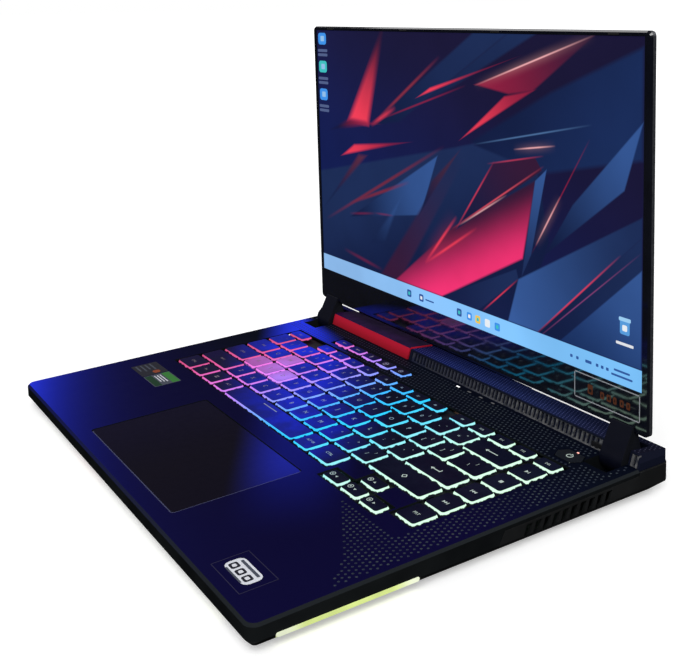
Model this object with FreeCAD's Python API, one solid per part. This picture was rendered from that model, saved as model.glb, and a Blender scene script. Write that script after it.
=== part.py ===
import FreeCAD, Part
import math
import os

# Laptop computer, lid standing upright. Millimetres, X to the user's right, Y to the back, Z up.
# The origin is the centre of the base's footprint, on the surface that the rubber feet rest on.

# ---------------------------------------------------------------- driving dimensions
WIDTH = 354.0                 # base, left to right
DEPTH = 259.0                 # base, front to back
FOOT_HEIGHT = 3.0             # underside of the bottom cover above the table
DECK_FRONT_Z = 14.4           # top of the palm rest at the front edge
DECK_TILT = 0.9               # the deck rises to the back by this angle, degrees
CORNER_RADIUS = 6.0           # vertical corners of the base
EDGE_Z = 6.6                  # lower edge of the side walls, above the underside bevel
SIDE_BEVEL = 3.4              # width of the underside bevel at the sides
FRONT_BEVEL = 4.8             # width of the underside bevel at the front
REAR_BEVEL = 14.0             # length of the underside bevel at the back
REAR_EDGE_Z = 7.8             # lower edge of the rear wall
DECK_CHAMFER = 1.3            # bright bevel round the deck
WALL = 1.8                    # side walls
SKIN = 1.5                    # deck and bottom sheets

RISER_Y = 104.8               # foot of the raised rear deck's front wall
RISER_LEAN = 3.0              # the wall leans back by this much up to its top
RISER_TOP_FRONT = 25.3        # height of the raised deck above the table, front
RISER_TOP_REAR = 23.4         # and back
RISER_SEAM_Z = 16.6           # underside of the raised deck's own cover
RISER_INSET = 1.2             # the raised cover's side walls stand in from the base's

HINGE_Y = 109.2               # hinge axis
HINGE_Z = 17.2
ARM_RADIUS = 8.5              # barrel of a hinge arm
ARM_INNER = 150.5             # arm's faces, from the middle plane
ARM_OUTER = 167.0
POCKET_CLEARANCE = 0.7        # gap on each side of an arm in its pocket
SHAFT_RADIUS = 2.2
LID_OPEN_BACK = 36.0          # travel past the upright rest pose, degrees
LID_CLOSE = 90.9              # travel from rest to closed, degrees

LID_WIDTH = 353.6
LID_FACE = 1.8                # front face of the lid behind the hinge axis
LID_BOTTOM = 16.6             # lower edge of the lid above the hinge axis
LID_HEIGHT = 221.4
LID_THICKNESS = 6.3
LID_CORNER = 3.4
SCREEN_WIDTH = 344.2          # lit area
SCREEN_HEIGHT = 193.6
CHIN = 24.8                   # lid edge to the lit area, bottom

KEY_PITCH = 18.8              # one key unit, left to right
ROW_PITCH = 18.5              # one key row, front to back
KEY_GAP = 1.5                 # between the feet of neighbouring keycaps
KEY_DRAFT = 0.9               # a keycap's top stands in from its foot by this much
KEY_TOP = 0.5                 # top of a keycap above the deck
KEY_HEIGHT = 2.3              # height of a keycap's skirt
KEY_TRAVEL = 1.8
KEYS_LEFT = -152.0            # left edge of the key block
NUMBER_ROW_Y = 55.4           # middle of the number row
SHORT_KEY = 11.6              # front-to-back size of a short key's cell
PLATE_TOP = -4.1              # keyboard plate, below the deck
PLATE_THICKNESS = 0.6

PAD_LEFT, PAD_RIGHT = -67.0, 63.7
PAD_FRONT, PAD_REAR = -118.0, -41.5
PAD_GAP = 0.4
PAD_THICKNESS = 1.4

REAR_PANEL_HALF = 166.0       # the rear wall is made of panels between these ends
REAR_PANEL_LOW = 8.2

GRILLE_PITCH = 3.6            # ribs of the front grille of the raised deck
RIB_THICKNESS = 1.2

CAP_LEFT = -149.2             # red cover of the raised deck's left stretch
CAP_RIGHT = -44.0
CAP_REAR = 126.8
CAP_THICKNESS = 1.2

HALF_W = WIDTH / 2
HALF_D = DEPTH / 2
TILT_TAN = math.tan(math.radians(DECK_TILT))
LID_FACE_Y = HINGE_Y + LID_FACE
LID_BACK_Y = LID_FACE_Y + LID_THICKNESS
LID_BOTTOM_Z = HINGE_Z + LID_BOTTOM
LID_TOP_Z = LID_BOTTOM_Z + LID_HEIGHT
SCREEN_BOTTOM_Z = LID_BOTTOM_Z + CHIN
FLOOR_Z = FOOT_HEIGHT + SKIN  # inside of the bottom cover


def deck_z(y):
    """Height of the deck's top at a given depth."""
    return DECK_FRONT_Z + (y + HALF_D) * TILT_TAN


def riser_z(y):
    """Height of the raised rear deck's top at a given depth."""
    front = RISER_Y + RISER_LEAN
    return RISER_TOP_FRONT + (RISER_TOP_REAR - RISER_TOP_FRONT) * (y - front) / (HALF_D - front)


# ---------------------------------------------------------------- shape helpers
def box(x0, x1, y0, y1, z0, z1):
    return Part.makeBox(x1 - x0, y1 - y0, z1 - z0, FreeCAD.Vector(x0, y0, z0))


def rounded_box(x0, x1, y0, y1, z0, z1, radius):
    """Box with its four upright edges rounded."""
    solid = box(x0, x1, y0, y1, z0, z1)
    upright = [e for e in solid.Edges if abs(e.Vertexes[0].Z - e.Vertexes[1].Z) > 1e-6]
    return solid.makeFillet(radius, upright)


def polygon_prism(points, direction):
    wire = Part.makePolygon([FreeCAD.Vector(*p) for p in points + points[:1]])
    return Part.Face(wire).extrude(FreeCAD.Vector(*direction))


def prism_x(outline, x0, x1):
    """Outline of (y, z) points, drawn out from x0 to x1."""
    return polygon_prism([(x0, y, z) for y, z in outline], (x1 - x0, 0, 0))


def prism_y(outline, y0, y1):
    """Outline of (x, z) points, drawn out from y0 to y1."""
    return polygon_prism([(x, y0, z) for x, z in outline], (0, y1 - y0, 0))


def prism_z(outline, z0, z1):
    """Outline of (x, y) points, drawn out from z0 to z1."""
    return polygon_prism([(x, y, z0) for x, y in outline], (0, 0, z1 - z0))


def rod(start, axis, length, radius):
    return Part.makeCylinder(radius, length, FreeCAD.Vector(*start), FreeCAD.Vector(*axis))


def join(shapes):
    result = shapes[0]
    if len(shapes) > 1:
        result = result.fuse(shapes[1:])
    return result.removeSplitter()


def cut(shape, tools):
    return shape.cut(Part.makeCompound(tools)) if tools else shape


def mirrored(shape):
    return shape.mirror(FreeCAD.Vector(0, 0, 0), FreeCAD.Vector(1, 0, 0))


def both_sides(shape):
    return [shape, mirrored(shape)]


def on_deck(shape):
    """Turns a shape drawn over a flat deck at z = 0 onto the sloping deck."""
    placed = shape.copy()
    placed.rotate(FreeCAD.Vector(0, 0, 0), FreeCAD.Vector(1, 0, 0), DECK_TILT)
    placed.translate(FreeCAD.Vector(0, 0, deck_z(0)))
    return placed


def frustum(x0, x1, y0, y1, z0, z1, draft):
    """Block whose top stands in from its foot by the draft, with softened upright corners."""
    corner = min(1.6, (y1 - y0) / 6)
    foot = rounded_outline(x0, x1, y0, y1, z0, corner)
    top = rounded_outline(x0 + draft, x1 - draft, y0 + draft, y1 - draft, z1, corner)
    return Part.makeLoft([foot, top], True, True)


def rounded_outline(x0, x1, y0, y1, z, radius):
    """Closed wire of a rectangle with rounded corners."""
    corners = [(x1 - radius, y0 + radius, -90), (x1 - radius, y1 - radius, 0),
               (x0 + radius, y1 - radius, 90), (x0 + radius, y0 + radius, 180)]
    edges = []
    last = None
    first = None
    for cx, cy, start in corners:
        points = []
        for turn in (0, 45, 90):
            angle = math.radians(start + turn)
            points.append(FreeCAD.Vector(cx + radius * math.cos(angle), cy + radius * math.sin(angle), z))
        if last is not None:
            edges.append(Part.makeLine(last, points[0]))
        else:
            first = points[0]
        edges.append(Part.Arc(*points).toShape())
        last = points[2]
    edges.append(Part.makeLine(last, first))
    return Part.Wire(edges)


def save(name, shape):
    solids = shape if isinstance(shape, list) else shape.Solids
    result = solids[0] if len(solids) == 1 else Part.makeCompound(solids)
    result.exportStep("parts/" + name + ".step")


# ---------------------------------------------------------------- base envelope
def base_block(inset_side, inset_bottom, inset_top):
    """The base below and in front of the raised rear deck; insets make the hollow inside it."""
    far = HALF_D - inset_side
    side = HALF_W - inset_side
    low = FOOT_HEIGHT + inset_bottom
    riser = RISER_Y
    outline = [
        (-far, EDGE_Z + inset_bottom * 0.6),
        (-HALF_D + FRONT_BEVEL + inset_bottom * 0.8, low),
        (HALF_D - REAR_BEVEL, low),
        (far, REAR_EDGE_Z + inset_bottom),
        (far, RISER_SEAM_Z),
        (riser, RISER_SEAM_Z),
        (riser, deck_z(riser) - inset_top),
        (-far, deck_z(-far) - inset_top),
    ]
    cross = [
        (-HALF_W + SIDE_BEVEL + inset_bottom * 0.8, low),
        (HALF_W - SIDE_BEVEL - inset_bottom * 0.8, low),
        (side, EDGE_Z + inset_bottom * 0.6),
        (side, 30.0),
        (-side, 30.0),
        (-side, EDGE_Z + inset_bottom * 0.6),
    ]
    body = prism_x(outline, -HALF_W, HALF_W).common(prism_y(cross, -HALF_D, HALF_D))
    plan = rounded_box(-side, side, -far, far, 0, 30, CORNER_RADIUS - inset_side)
    return body.common(plan).removeSplitter()


def deck_edges(block):
    """Edges round the deck's front and sides."""
    found = []
    for edge in block.Edges:
        points = [v.Point for v in edge.Vertexes]
        level = all(abs(p.z - deck_z(p.y)) < 0.01 for p in points)
        rear = all(abs(p.y - RISER_Y) < 0.01 for p in points)
        if level and not rear:
            found.append(edge)
    return found


def seam_block():
    """Everything below the seam between the deck's skirt and the bottom cover."""
    step_start, step_end, skirt = 6.0, 10.0, 3.2
    return prism_x([
        (-HALF_D - 5, 0), (HALF_D + 5, 0), (HALF_D + 5, RISER_SEAM_Z), (RISER_Y, RISER_SEAM_Z),
        (RISER_Y, deck_z(RISER_Y) - skirt), (step_end, deck_z(step_end) - skirt),
        (step_start, EDGE_Z), (-HALF_D - 5, EDGE_Z),
    ], -HALF_W - 5, HALF_W + 5)


# ---------------------------------------------------------------- key layout
def key_cell(unit, width, row):
    """Cell of a key in the main block: units from the left, units wide, row from the number row."""
    x0 = KEYS_LEFT + unit * KEY_PITCH
    y = NUMBER_ROW_Y - row * ROW_PITCH
    return (x0, x0 + width * KEY_PITCH, y - ROW_PITCH / 2, y + ROW_PITCH / 2)


def row_cells(first, count, row):
    return [key_cell(first + i, 1.0, row) for i in range(count)]


F_ROW_Y = NUMBER_ROW_Y + ROW_PITCH / 2 + SHORT_KEY / 2
COLUMN_X = 141.6              # right-hand column of keys
ARROWS_X = 100.7
ARROW_ROW_Y = -29.9
HOT_KEYS_X = -64.5
HOT_KEYS_Y = 87.0


def free_cell(x, y, width, depth):
    return (x - width / 2, x + width / 2, y - depth / 2, y + depth / 2)


def short_row(first_x, count, y):
    return [free_cell(first_x + i * KEY_PITCH, y, KEY_PITCH, SHORT_KEY) for i in range(count)]


function_groups = (
    short_row(KEYS_LEFT + 2.75 * KEY_PITCH, 4, F_ROW_Y)
    + short_row(KEYS_LEFT + 7.0 * KEY_PITCH, 4, F_ROW_Y)
    + short_row(KEYS_LEFT + 11.5 * KEY_PITCH, 4, F_ROW_Y)
)
column_cells = [free_cell(COLUMN_X, F_ROW_Y, KEY_PITCH, SHORT_KEY)]
for column_row in range(5):
    column_y = NUMBER_ROW_Y - column_row * ROW_PITCH
    column_cells.append(free_cell(COLUMN_X, column_y, KEY_PITCH, ROW_PITCH))

KEYS = {
    "escape_key": [free_cell(KEYS_LEFT + 0.6 * KEY_PITCH, F_ROW_Y, 1.2 * KEY_PITCH, SHORT_KEY)],
    "function_keys": function_groups,
    "number_row_keys": row_cells(0, 13, 0),
    "backspace_key": [key_cell(13, 2.0, 0)],
    "letter_w_key": [key_cell(2.5, 1.0, 1)],
    "upper_row_keys": ([key_cell(0, 1.5, 1), key_cell(1.5, 1.0, 1)] + row_cells(3.5, 10, 1)
                       + [key_cell(13.5, 1.5, 1)]),
    "letter_asd_keys": row_cells(1.75, 3, 2),
    "home_row_keys": [key_cell(0, 1.75, 2)] + row_cells(4.75, 8, 2),
    "enter_key": [key_cell(12.75, 2.25, 2)],
    "left_shift_key": [key_cell(0, 2.25, 3)],
    "lower_row_keys": row_cells(2.25, 10, 3),
    "right_shift_key": [key_cell(12.25, 2.75, 3)],
    "modifier_keys": ([key_cell(0, 1.25, 4)] + row_cells(1.25, 3, 4)
                      + [key_cell(9.35, 1.0, 4), key_cell(10.35, 1.3, 4)]),
    "space_bar": [key_cell(4.25, 5.1, 4)],
    "left_arrow_key": [free_cell(ARROWS_X - KEY_PITCH, ARROW_ROW_Y, KEY_PITCH, SHORT_KEY)],
    "down_arrow_key": [free_cell(ARROWS_X, ARROW_ROW_Y, KEY_PITCH, SHORT_KEY)],
    "right_arrow_key": [free_cell(ARROWS_X + KEY_PITCH, ARROW_ROW_Y, KEY_PITCH, SHORT_KEY)],
    "up_arrow_key": [free_cell(ARROWS_X, ARROW_ROW_Y + SHORT_KEY + 1.2, KEY_PITCH, SHORT_KEY)],
    "side_column_keys": column_cells,
    "hot_keys": [free_cell(HOT_KEYS_X + i * KEY_PITCH, HOT_KEYS_Y, KEY_PITCH, SHORT_KEY - 1)
                 for i in (-2, -1, 0, 1, 2)],
}
STEM = 5.0                    # square stem under each keycap
STEM_HOLE = 5.8


def keycap(cell):
    """One keycap on its stem, over a flat deck at z = 0."""
    x0, x1, y0, y1 = cell
    half = KEY_GAP / 2
    low = KEY_TOP - KEY_HEIGHT
    cap = frustum(x0 + half, x1 - half, y0 + half, y1 - half, low, KEY_TOP, KEY_DRAFT)
    parts = [cap]
    for x in stem_places(cell):
        y = (y0 + y1) / 2
        foot = PLATE_TOP - 0.6
        parts.append(box(x - STEM / 2, x + STEM / 2, y - STEM / 2, y + STEM / 2, foot, low + 0.5))
    return on_deck(join(parts))


def stem_places(cell):
    """Stem positions along X: one, or a wide key's three."""
    middle = (cell[0] + cell[1]) / 2
    if cell[1] - cell[0] < 2 * KEY_PITCH:
        return [middle]
    reach = (cell[1] - cell[0]) / 2 - STEM
    return [middle - reach, middle, middle + reach]


def keyboard_opening(grow, z0, z1):
    """Opening that all the key cells need, over a flat deck, grown by a margin."""
    left, right = KEYS_LEFT - grow, COLUMN_X + KEY_PITCH / 2 + grow
    bottom_row = NUMBER_ROW_Y - 4.5 * ROW_PITCH
    shift_row = NUMBER_ROW_Y - 3.5 * ROW_PITCH
    f_top = F_ROW_Y + SHORT_KEY / 2
    arrow_left = ARROWS_X - 1.5 * KEY_PITCH
    arrow_right = ARROWS_X + 1.5 * KEY_PITCH
    arrow_low = ARROW_ROW_Y - SHORT_KEY / 2
    arrow_high = ARROW_ROW_Y + SHORT_KEY / 2
    rectangles = [
        (left, right, shift_row - grow, f_top + grow),
        (left, KEYS_LEFT + 11.65 * KEY_PITCH + grow, bottom_row - grow, shift_row),
        (COLUMN_X - KEY_PITCH / 2 - grow, right, bottom_row - grow, shift_row),
        (ARROWS_X - KEY_PITCH / 2 - grow, ARROWS_X + KEY_PITCH / 2 + grow, arrow_high, shift_row),
        (arrow_left - grow, arrow_right + grow, arrow_low - grow, arrow_high + grow),
        (HOT_KEYS_X - 2.5 * KEY_PITCH - grow, HOT_KEYS_X + 2.5 * KEY_PITCH + grow,
         HOT_KEYS_Y - (SHORT_KEY - 1) / 2 - grow, HOT_KEYS_Y + (SHORT_KEY - 1) / 2 + grow),
    ]
    return on_deck(join([box(a, b, c, d, z0, z1) for a, b, c, d in rectangles]))


# ---------------------------------------------------------------- hinge shapes
POCKET_FRONT = 88.6
POCKET_FLOOR = 8.0
POCKET_BACK = 122.5
TUB = 1.2                     # wall of a hinge pocket


def pocket_block(grow):
    """Space of the right-hand hinge pocket, grown by the tub's wall for its outside."""
    x0 = ARM_INNER - POCKET_CLEARANCE - grow
    x1 = ARM_OUTER + POCKET_CLEARANCE + grow
    lip_z = deck_z(POCKET_FRONT) - 0.9
    return prism_x([
        (POCKET_FRONT - grow, 40), (POCKET_FRONT - grow, lip_z - grow),
        (104.0 - grow * 0.5, POCKET_FLOOR - grow), (POCKET_BACK + grow, POCKET_FLOOR - grow),
        (POCKET_BACK + grow, 40),
    ], x0, x1)


def hinge_arm():
    """Right-hand hinge arm: a barrel round the axis that rises to the lid's lower edge."""
    top = 20.4                # upper edge over the lid's face, above the axis
    proud = 0.8
    front_y, front_z = LID_FACE_Y - proud, HINGE_Z + top
    back_y, back_z = LID_FACE_Y + 3.0, LID_BOTTOM_Z

    def tangent(py, pz, side):
        dy, dz = py - HINGE_Y, pz - HINGE_Z
        spread = math.acos(ARM_RADIUS / math.hypot(dy, dz))
        angle = math.atan2(dz, dy) + side * spread
        return (HINGE_Y + ARM_RADIUS * math.cos(angle), HINGE_Z + ARM_RADIUS * math.sin(angle))

    blade = prism_x([
        tangent(front_y, front_z, 1), (front_y, front_z), (LID_FACE_Y, front_z),
        (LID_FACE_Y, LID_BOTTOM_Z), (back_y, back_z), tangent(back_y, back_z, -1),
        (HINGE_Y, HINGE_Z),
    ], ARM_INNER, ARM_OUTER)
    barrel = rod((ARM_INNER, HINGE_Y, HINGE_Z), (1, 0, 0), ARM_OUTER - ARM_INNER, ARM_RADIUS)
    bore = rod((ARM_INNER - 1, HINGE_Y, HINGE_Z), (1, 0, 0), 15.5, SHAFT_RADIUS + 0.05)
    return join([blade, barrel]).cut(bore)


def hinge_shaft():
    return rod((139.0, HINGE_Y, HINGE_Z), (1, 0, 0), 25.0, SHAFT_RADIUS)


def shaft_opening():
    """Hole that lets the right-hand shaft through the pocket's inner wall."""
    return rod((146.0, HINGE_Y, HINGE_Z), (1, 0, 0), 6, SHAFT_RADIUS + 0.6)


def hinge_bracket():
    """Right-hand bracket that holds a shaft inside the base."""
    knuckle = box(139.5, 147.5, 106.0, 114.0, 11.0, 21.4)
    foot = box(122.0, 147.5, 102.0, 114.0, 11.0, 12.2)
    holes = [rod((x, 106.5, 10), (0, 0, 1), 4, 1.3) for x in (126.0, 134.0)]
    hole = rod((130.0, HINGE_Y, HINGE_Z), (1, 0, 0), 30.0, SHAFT_RADIUS)
    return cut(join([knuckle, foot]), holes + [hole])


# ---------------------------------------------------------------- base shells
BOSSES = [(-160.0, -119.0), (-90.0, -119.5), (90.0, -119.5), (160.0, -119.0), (-164.0, -58.0), (164.0, -58.0),
          (-162.0, 50.0), (162.0, 50.0), (-118.5, -38.0), (136.0, -42.0),
          (-78.0, 101.0), (0.0, 101.0), (78.0, 101.0)]
LIGHT_SIDE = (-116.0, -43.0)  # side windows of the light bar, front to back
LIGHT_FRONT = 143.0           # half length of the front window
VENT_FIRST, VENT_LAST, VENT_COUNT = 22.0, 84.0, 10


def side_vents():
    """Slanted slots through the right-hand wall that narrow over the underside bevel."""
    slots = []
    pitch = (VENT_LAST - VENT_FIRST) / VENT_COUNT
    for i in range(VENT_COUNT):
        y = VENT_FIRST + i * pitch
        lean = 2.2
        low, knee, high = 4.4, 6.9, deck_z(y) - 4.6
        width = pitch - 2.0
        low_width = width * 0.45
        slots.append(prism_x([
            (y + 1.6, low), (y + 1.6 + low_width, low), (y + width, knee),
            (y + width + lean, high), (y + lean, high), (y, knee),
        ], HALF_W - 8.0, HALF_W + 1.0))
    return slots


def rear_vents():
    """Upright slots of the exhaust at the right-hand end of the rear wall."""
    return [box(x, x + 2.0, HALF_D - 4.0, HALF_D + 1.0, 9.4, 15.4)
            for x in [66.0 + 3.4 * i for i in range(23)]]


def floor_vents():
    """Intake slots in the bottom cover under the right-hand fan."""
    slots = []
    for i in range(14):
        x = 84.0 + 4.2 * i
        for j in range(3):
            y = 40.0 + 18.0 * j
            slots.append(prism_z([(x, y), (x + 2.2, y), (x + 5.2, y + 15.0), (x + 3.0, y + 15.0)],
                                 FOOT_HEIGHT - 1, FLOOR_Z + 1))
    return slots


def speaker_slots():
    return [box(136.0 + 3.6 * i, 138.0 + 3.6 * i, -112.0, -98.0, FOOT_HEIGHT - 1, FLOOR_Z + 1)
            for i in range(8)]


SOCKETS = {                   # name: (wall, middle along it, middle height, width, height)
    "usb_socket_front": ("left", 2.0, 10.6, 13.4, 5.6),
    "usb_socket_rear": ("left", 24.0, 10.6, 13.4, 5.6),
    "audio_socket": ("left", -18.0, 10.6, 6.0, 6.0),
    "power_inlet": ("rear", -52.0, 12.2, 8.0, 8.0),
    "network_socket": ("rear", -28.0, 12.4, 13.6, 8.4),
    "display_socket": ("rear", 0.0, 12.2, 15.2, 5.8),
    "usb_c_socket": ("rear", 24.0, 12.2, 9.4, 3.6),
}
SOCKET_DEPTH = 13.0
SOCKET_ROUND = {"audio_socket": 1.8, "power_inlet": 2.9}
SOCKET_TONGUE = {"usb_socket_front": (10.8, 1.8, 1.1), "usb_socket_rear": (10.8, 1.8, 1.1),
                 "display_socket": (11.0, 1.0, 0.2), "usb_c_socket": (6.4, 0.7, 0.0)}


def socket_box(name, grow, y_extra):
    """Outside of a socket drawn at the rear wall; the left wall's are turned afterwards."""
    wall, along, z, width, height = SOCKETS[name]
    face = HALF_D if wall == "rear" else HALF_W
    return box(-width / 2 - grow, width / 2 + grow, face - SOCKET_DEPTH, face - 0.3 + y_extra,
               z - height / 2 - grow, z + height / 2 + grow)


def place_socket(name, shape):
    wall, along = SOCKETS[name][:2]
    placed = shape.copy()
    if wall == "left":
        placed.rotate(FreeCAD.Vector(0, 0, 0), FreeCAD.Vector(0, 0, 1), 90)
        placed.translate(FreeCAD.Vector(0, along, 0))
    else:
        placed.translate(FreeCAD.Vector(along, 0, 0))
    return placed


def socket(name):
    """A connector shell with its mouth in the wall, and a tongue where it has one."""
    wall, along, z, width, height = SOCKETS[name]
    face = (HALF_D if wall == "rear" else HALF_W) - 0.3
    shell = socket_box(name, 0, 0)
    if name in SOCKET_ROUND:
        mouth = rod((0, face - 11.0, z), (0, 1, 0), 12.0, SOCKET_ROUND[name])
    else:
        rim = 0.5
        mouth = box(-width / 2 + rim, width / 2 - rim, face - 11.0, face + 1,
                    z - height / 2 + rim, z + height / 2 - rim)
    body = shell.cut(mouth)
    if name == "power_inlet":
        body = join([body, rod((0, face - 12.0, z), (0, 1, 0), 10.0, 0.6)])
    if name in SOCKET_TONGUE:
        tongue_w, tongue_h, rise = SOCKET_TONGUE[name]
        body = join([body, box(-tongue_w / 2, tongue_w / 2, face - 12.0, face - 1.5,
                               z + rise - tongue_h / 2, z + rise + tongue_h / 2)])
    return place_socket(name, body)


def light_bar():
    """Light guide: a U inside the front and sides that shows in three windows of the bevel."""
    shell = base_block(0, 0, 0).cut(base_block(2.2, 2.0, SKIN))
    side = box(HALF_W - 5.2, HALF_W + 1, LIGHT_SIDE[0], LIGHT_SIDE[1], FOOT_HEIGHT + 0.4, EDGE_Z)
    front = box(-LIGHT_FRONT, LIGHT_FRONT, -HALF_D - 1, -HALF_D + 6.0, FOOT_HEIGHT + 0.4, EDGE_Z)
    windows = join(both_sides(side) + [front])
    outer = rounded_box(-HALF_W + 3.4, HALF_W - 3.4, -HALF_D + 3.4, 0, 5.2, EDGE_Z - 0.1, CORNER_RADIUS - 3.4)
    inner = box(-HALF_W + 6.6, HALF_W - 6.6, -HALF_D + 6.6, 10, 5, EDGE_Z)
    loop = outer.cut(inner).cut(box(-HALF_W, HALF_W, LIGHT_SIDE[1], 10, 0, 10))
    return shell.common(windows).removeSplitter(), loop


def rear_wall():
    """Space of the upright rear wall between the base's rear corners."""
    return box(-REAR_PANEL_HALF, REAR_PANEL_HALF, HALF_D - WALL, HALF_D + 1, REAR_PANEL_LOW, RISER_SEAM_Z)


def rear_panels(shell, sockets):
    """Rear wall with the exhaust slots and socket mouths, one panel each side of the network socket."""
    vents = rear_vents() + [mirrored(s) for s in rear_vents()]
    return cut(shell.common(rear_wall()), vents + sockets).Solids


def bottom_cover(shell, bar, sockets):
    tray = shell.common(seam_block()).cut(rear_wall())
    tools = side_vents() + rear_vents() + floor_vents() + speaker_slots()
    tools += [mirrored(s) for s in rear_vents() + floor_vents() + speaker_slots()]
    tools += [mirrored(s) for s in side_vents() if s.BoundBox.YMin > 48.0]
    tools += sockets + [bar]
    for x, y in BOSSES:
        tools.append(rod((x, y, FOOT_HEIGHT - 1), (0, 0, 1), 1.9, 2.7))
        tools.append(rod((x, y, FOOT_HEIGHT - 1), (0, 0, 1), 5, 1.25))
    return cut(tray, tools)


def palm_rest(shell, bar, sockets):
    """Deck sheet and skirt, with the key, pad and hinge openings and the screw bosses."""
    body = shell.cut(seam_block())
    tub = pocket_block(TUB).common(base_block(WALL, SKIN, 0.8))
    parts = [body] + both_sides(tub)
    for x, y in BOSSES:
        parts.append(rod((x, y, FLOOR_Z), (0, 0, 1), deck_z(y) - 0.8 - FLOOR_Z, 3.2))
    body = join(parts)
    pad = on_deck(rounded_box(PAD_LEFT - PAD_GAP, PAD_RIGHT + PAD_GAP, PAD_FRONT - PAD_GAP,
                              PAD_REAR + PAD_GAP, -6, 4, 2.4))
    tools = both_sides(pocket_block(0)) + [keyboard_opening(1.0, -6, 4), pad, bar] + sockets
    tools.append(power_button_block(0.35, -6, 4))
    tools += status_lights(0.0, -3)
    tools += both_sides(shaft_opening())
    for x, y in BOSSES:
        tools.append(rod((x, y, FOOT_HEIGHT), (0, 0, 1), 7.5, 0.95))
    return cut(body, tools)


def status_lights(shrink, low):
    """Four small light windows between the keys and the grille."""
    lights = []
    for i in range(4):
        x = 19.4 + 12.1 * i
        lights.append(on_deck(box(x - 1.6 + shrink, x + 1.6 - shrink, 101.0 + shrink, 102.2 - shrink, low, 0.05)))
    return lights


POWER_X, POWER_Y = 141.2, 87.2


def power_button_block(grow, z0, z1):
    """Six-sided power button, over the sloping deck."""
    half_x, half_y, nose = 9.6 + grow, 5.6 + grow, 3.4
    return on_deck(prism_z([
        (POWER_X - half_x, POWER_Y), (POWER_X - half_x + nose, POWER_Y - half_y),
        (POWER_X + half_x - nose, POWER_Y - half_y), (POWER_X + half_x, POWER_Y),
        (POWER_X + half_x - nose, POWER_Y + half_y), (POWER_X - half_x + nose, POWER_Y + half_y),
    ], z0, z1))


# ---------------------------------------------------------------- raised rear deck
def riser_block(inset, inset_top):
    """Outside of the raised rear deck, or its hollow."""
    rear = HALF_D - inset
    side = HALF_W - RISER_INSET - inset
    lean = RISER_LEAN / (RISER_TOP_FRONT - RISER_SEAM_Z)
    outline = [
        (RISER_Y + inset, RISER_SEAM_Z),
        (RISER_Y + RISER_LEAN + inset, riser_z(RISER_Y + RISER_LEAN) - inset_top),
        (rear - 1.0, riser_z(rear) - inset_top),
        (rear, riser_z(rear) - inset_top - 1.0),
        (rear, RISER_SEAM_Z),
    ]
    if inset > 0:
        outline[1] = (outline[1][0] - lean * inset_top, outline[1][1])
    chamfer = 3.2
    cross = [
        (-side, RISER_SEAM_Z - 1), (side, RISER_SEAM_Z - 1), (side, 21.0 - inset_top),
        (side - chamfer, 26.0 - inset_top), (-side + chamfer, 26.0 - inset_top), (-side, 21.0 - inset_top),
    ]
    body = prism_x(outline, -HALF_W, HALF_W).common(prism_y(cross, RISER_Y - 1, HALF_D + 1))
    plan = rounded_box(-side, side, RISER_Y - 40, rear, 0, 40, CORNER_RADIUS - 1 - inset)
    return body.common(plan)


GRILLE_LEFT, GRILLE_RIGHT = CAP_RIGHT + 3.0, 147.0
GRILLE_SPANS = [(GRILLE_LEFT, GRILLE_RIGHT, GRILLE_PITCH), (168.9, 174.2, 2.6), (-174.2, -168.9, 2.6)]
WINDOW_LOW, WINDOW_HIGH = 17.6, 24.2


def grille_window(x0, x1, depth):
    """Long window in the leaning front wall."""
    lean = RISER_LEAN / (RISER_TOP_FRONT - RISER_SEAM_Z)
    y_low = RISER_Y + lean * (WINDOW_LOW - RISER_SEAM_Z)
    y_high = RISER_Y + lean * (WINDOW_HIGH - RISER_SEAM_Z)
    return prism_x([
        (y_low - 1, WINDOW_LOW), (y_low + depth, WINDOW_LOW),
        (y_high + depth, WINDOW_HIGH), (y_high - 1, WINDOW_HIGH),
    ], x0, x1)


def rear_deck():
    solid = riser_block(0, 0)
    hollow = riser_block(WALL, SKIN)
    walls = [w.common(solid) for w in both_sides(pocket_block(TUB))]
    body = join([solid.cut(hollow)] + walls)
    tools = both_sides(pocket_block(0)) + both_sides(shaft_opening())
    tools += [grille_window(a, b, 1.7) for a, b, pitch in GRILLE_SPANS]
    return cut(body, tools).Solids


def front_grille():
    """Upright ribs behind the window, held by a rail along their top and bottom."""
    pieces = []
    for x0, x1, pitch in GRILLE_SPANS:
        band = grille_window(x0 + 0.05, x1 - 0.05, 1.7)
        recess = grille_window(x0 - 1, x1 + 1, 0.5)
        slots = []
        count = int((x1 - x0 - RIB_THICKNESS) / pitch)
        start = (x0 + x1) / 2 - (count - 1) * pitch / 2
        for i in range(count):
            x = start + i * pitch
            half = (pitch - RIB_THICKNESS) / 2
            y_low, y_high = RISER_Y - 2, RISER_Y + 8
            slots.append(box(x - half, x + half, y_low, y_high, WINDOW_LOW + 0.5, WINDOW_HIGH - 0.5))
        solid = band.cut(recess)
        pieces.append(cut(solid, slots))
    return pieces


def accent_cap():
    """Red cover: a leaning front wall and a top lip over the raised deck's left stretch."""
    lean = RISER_LEAN / (RISER_TOP_FRONT - RISER_SEAM_Z)
    top_y = RISER_Y + RISER_LEAN
    foot_z = deck_z(RISER_Y) + 0.15
    foot_y = RISER_Y + lean * (foot_z - RISER_SEAM_Z)
    t = CAP_THICKNESS
    body = prism_x([
        (foot_y, foot_z), (top_y, RISER_TOP_FRONT), (CAP_REAR, riser_z(CAP_REAR)),
        (CAP_REAR, riser_z(CAP_REAR) + t * 0.6), (CAP_REAR - 1.0, riser_z(CAP_REAR) + t),
        (top_y + 0.4, RISER_TOP_FRONT + t), (top_y - 0.9, RISER_TOP_FRONT + t * 0.55),
        (foot_y - t, foot_z),
    ], CAP_LEFT, CAP_RIGHT)
    return body


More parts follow.
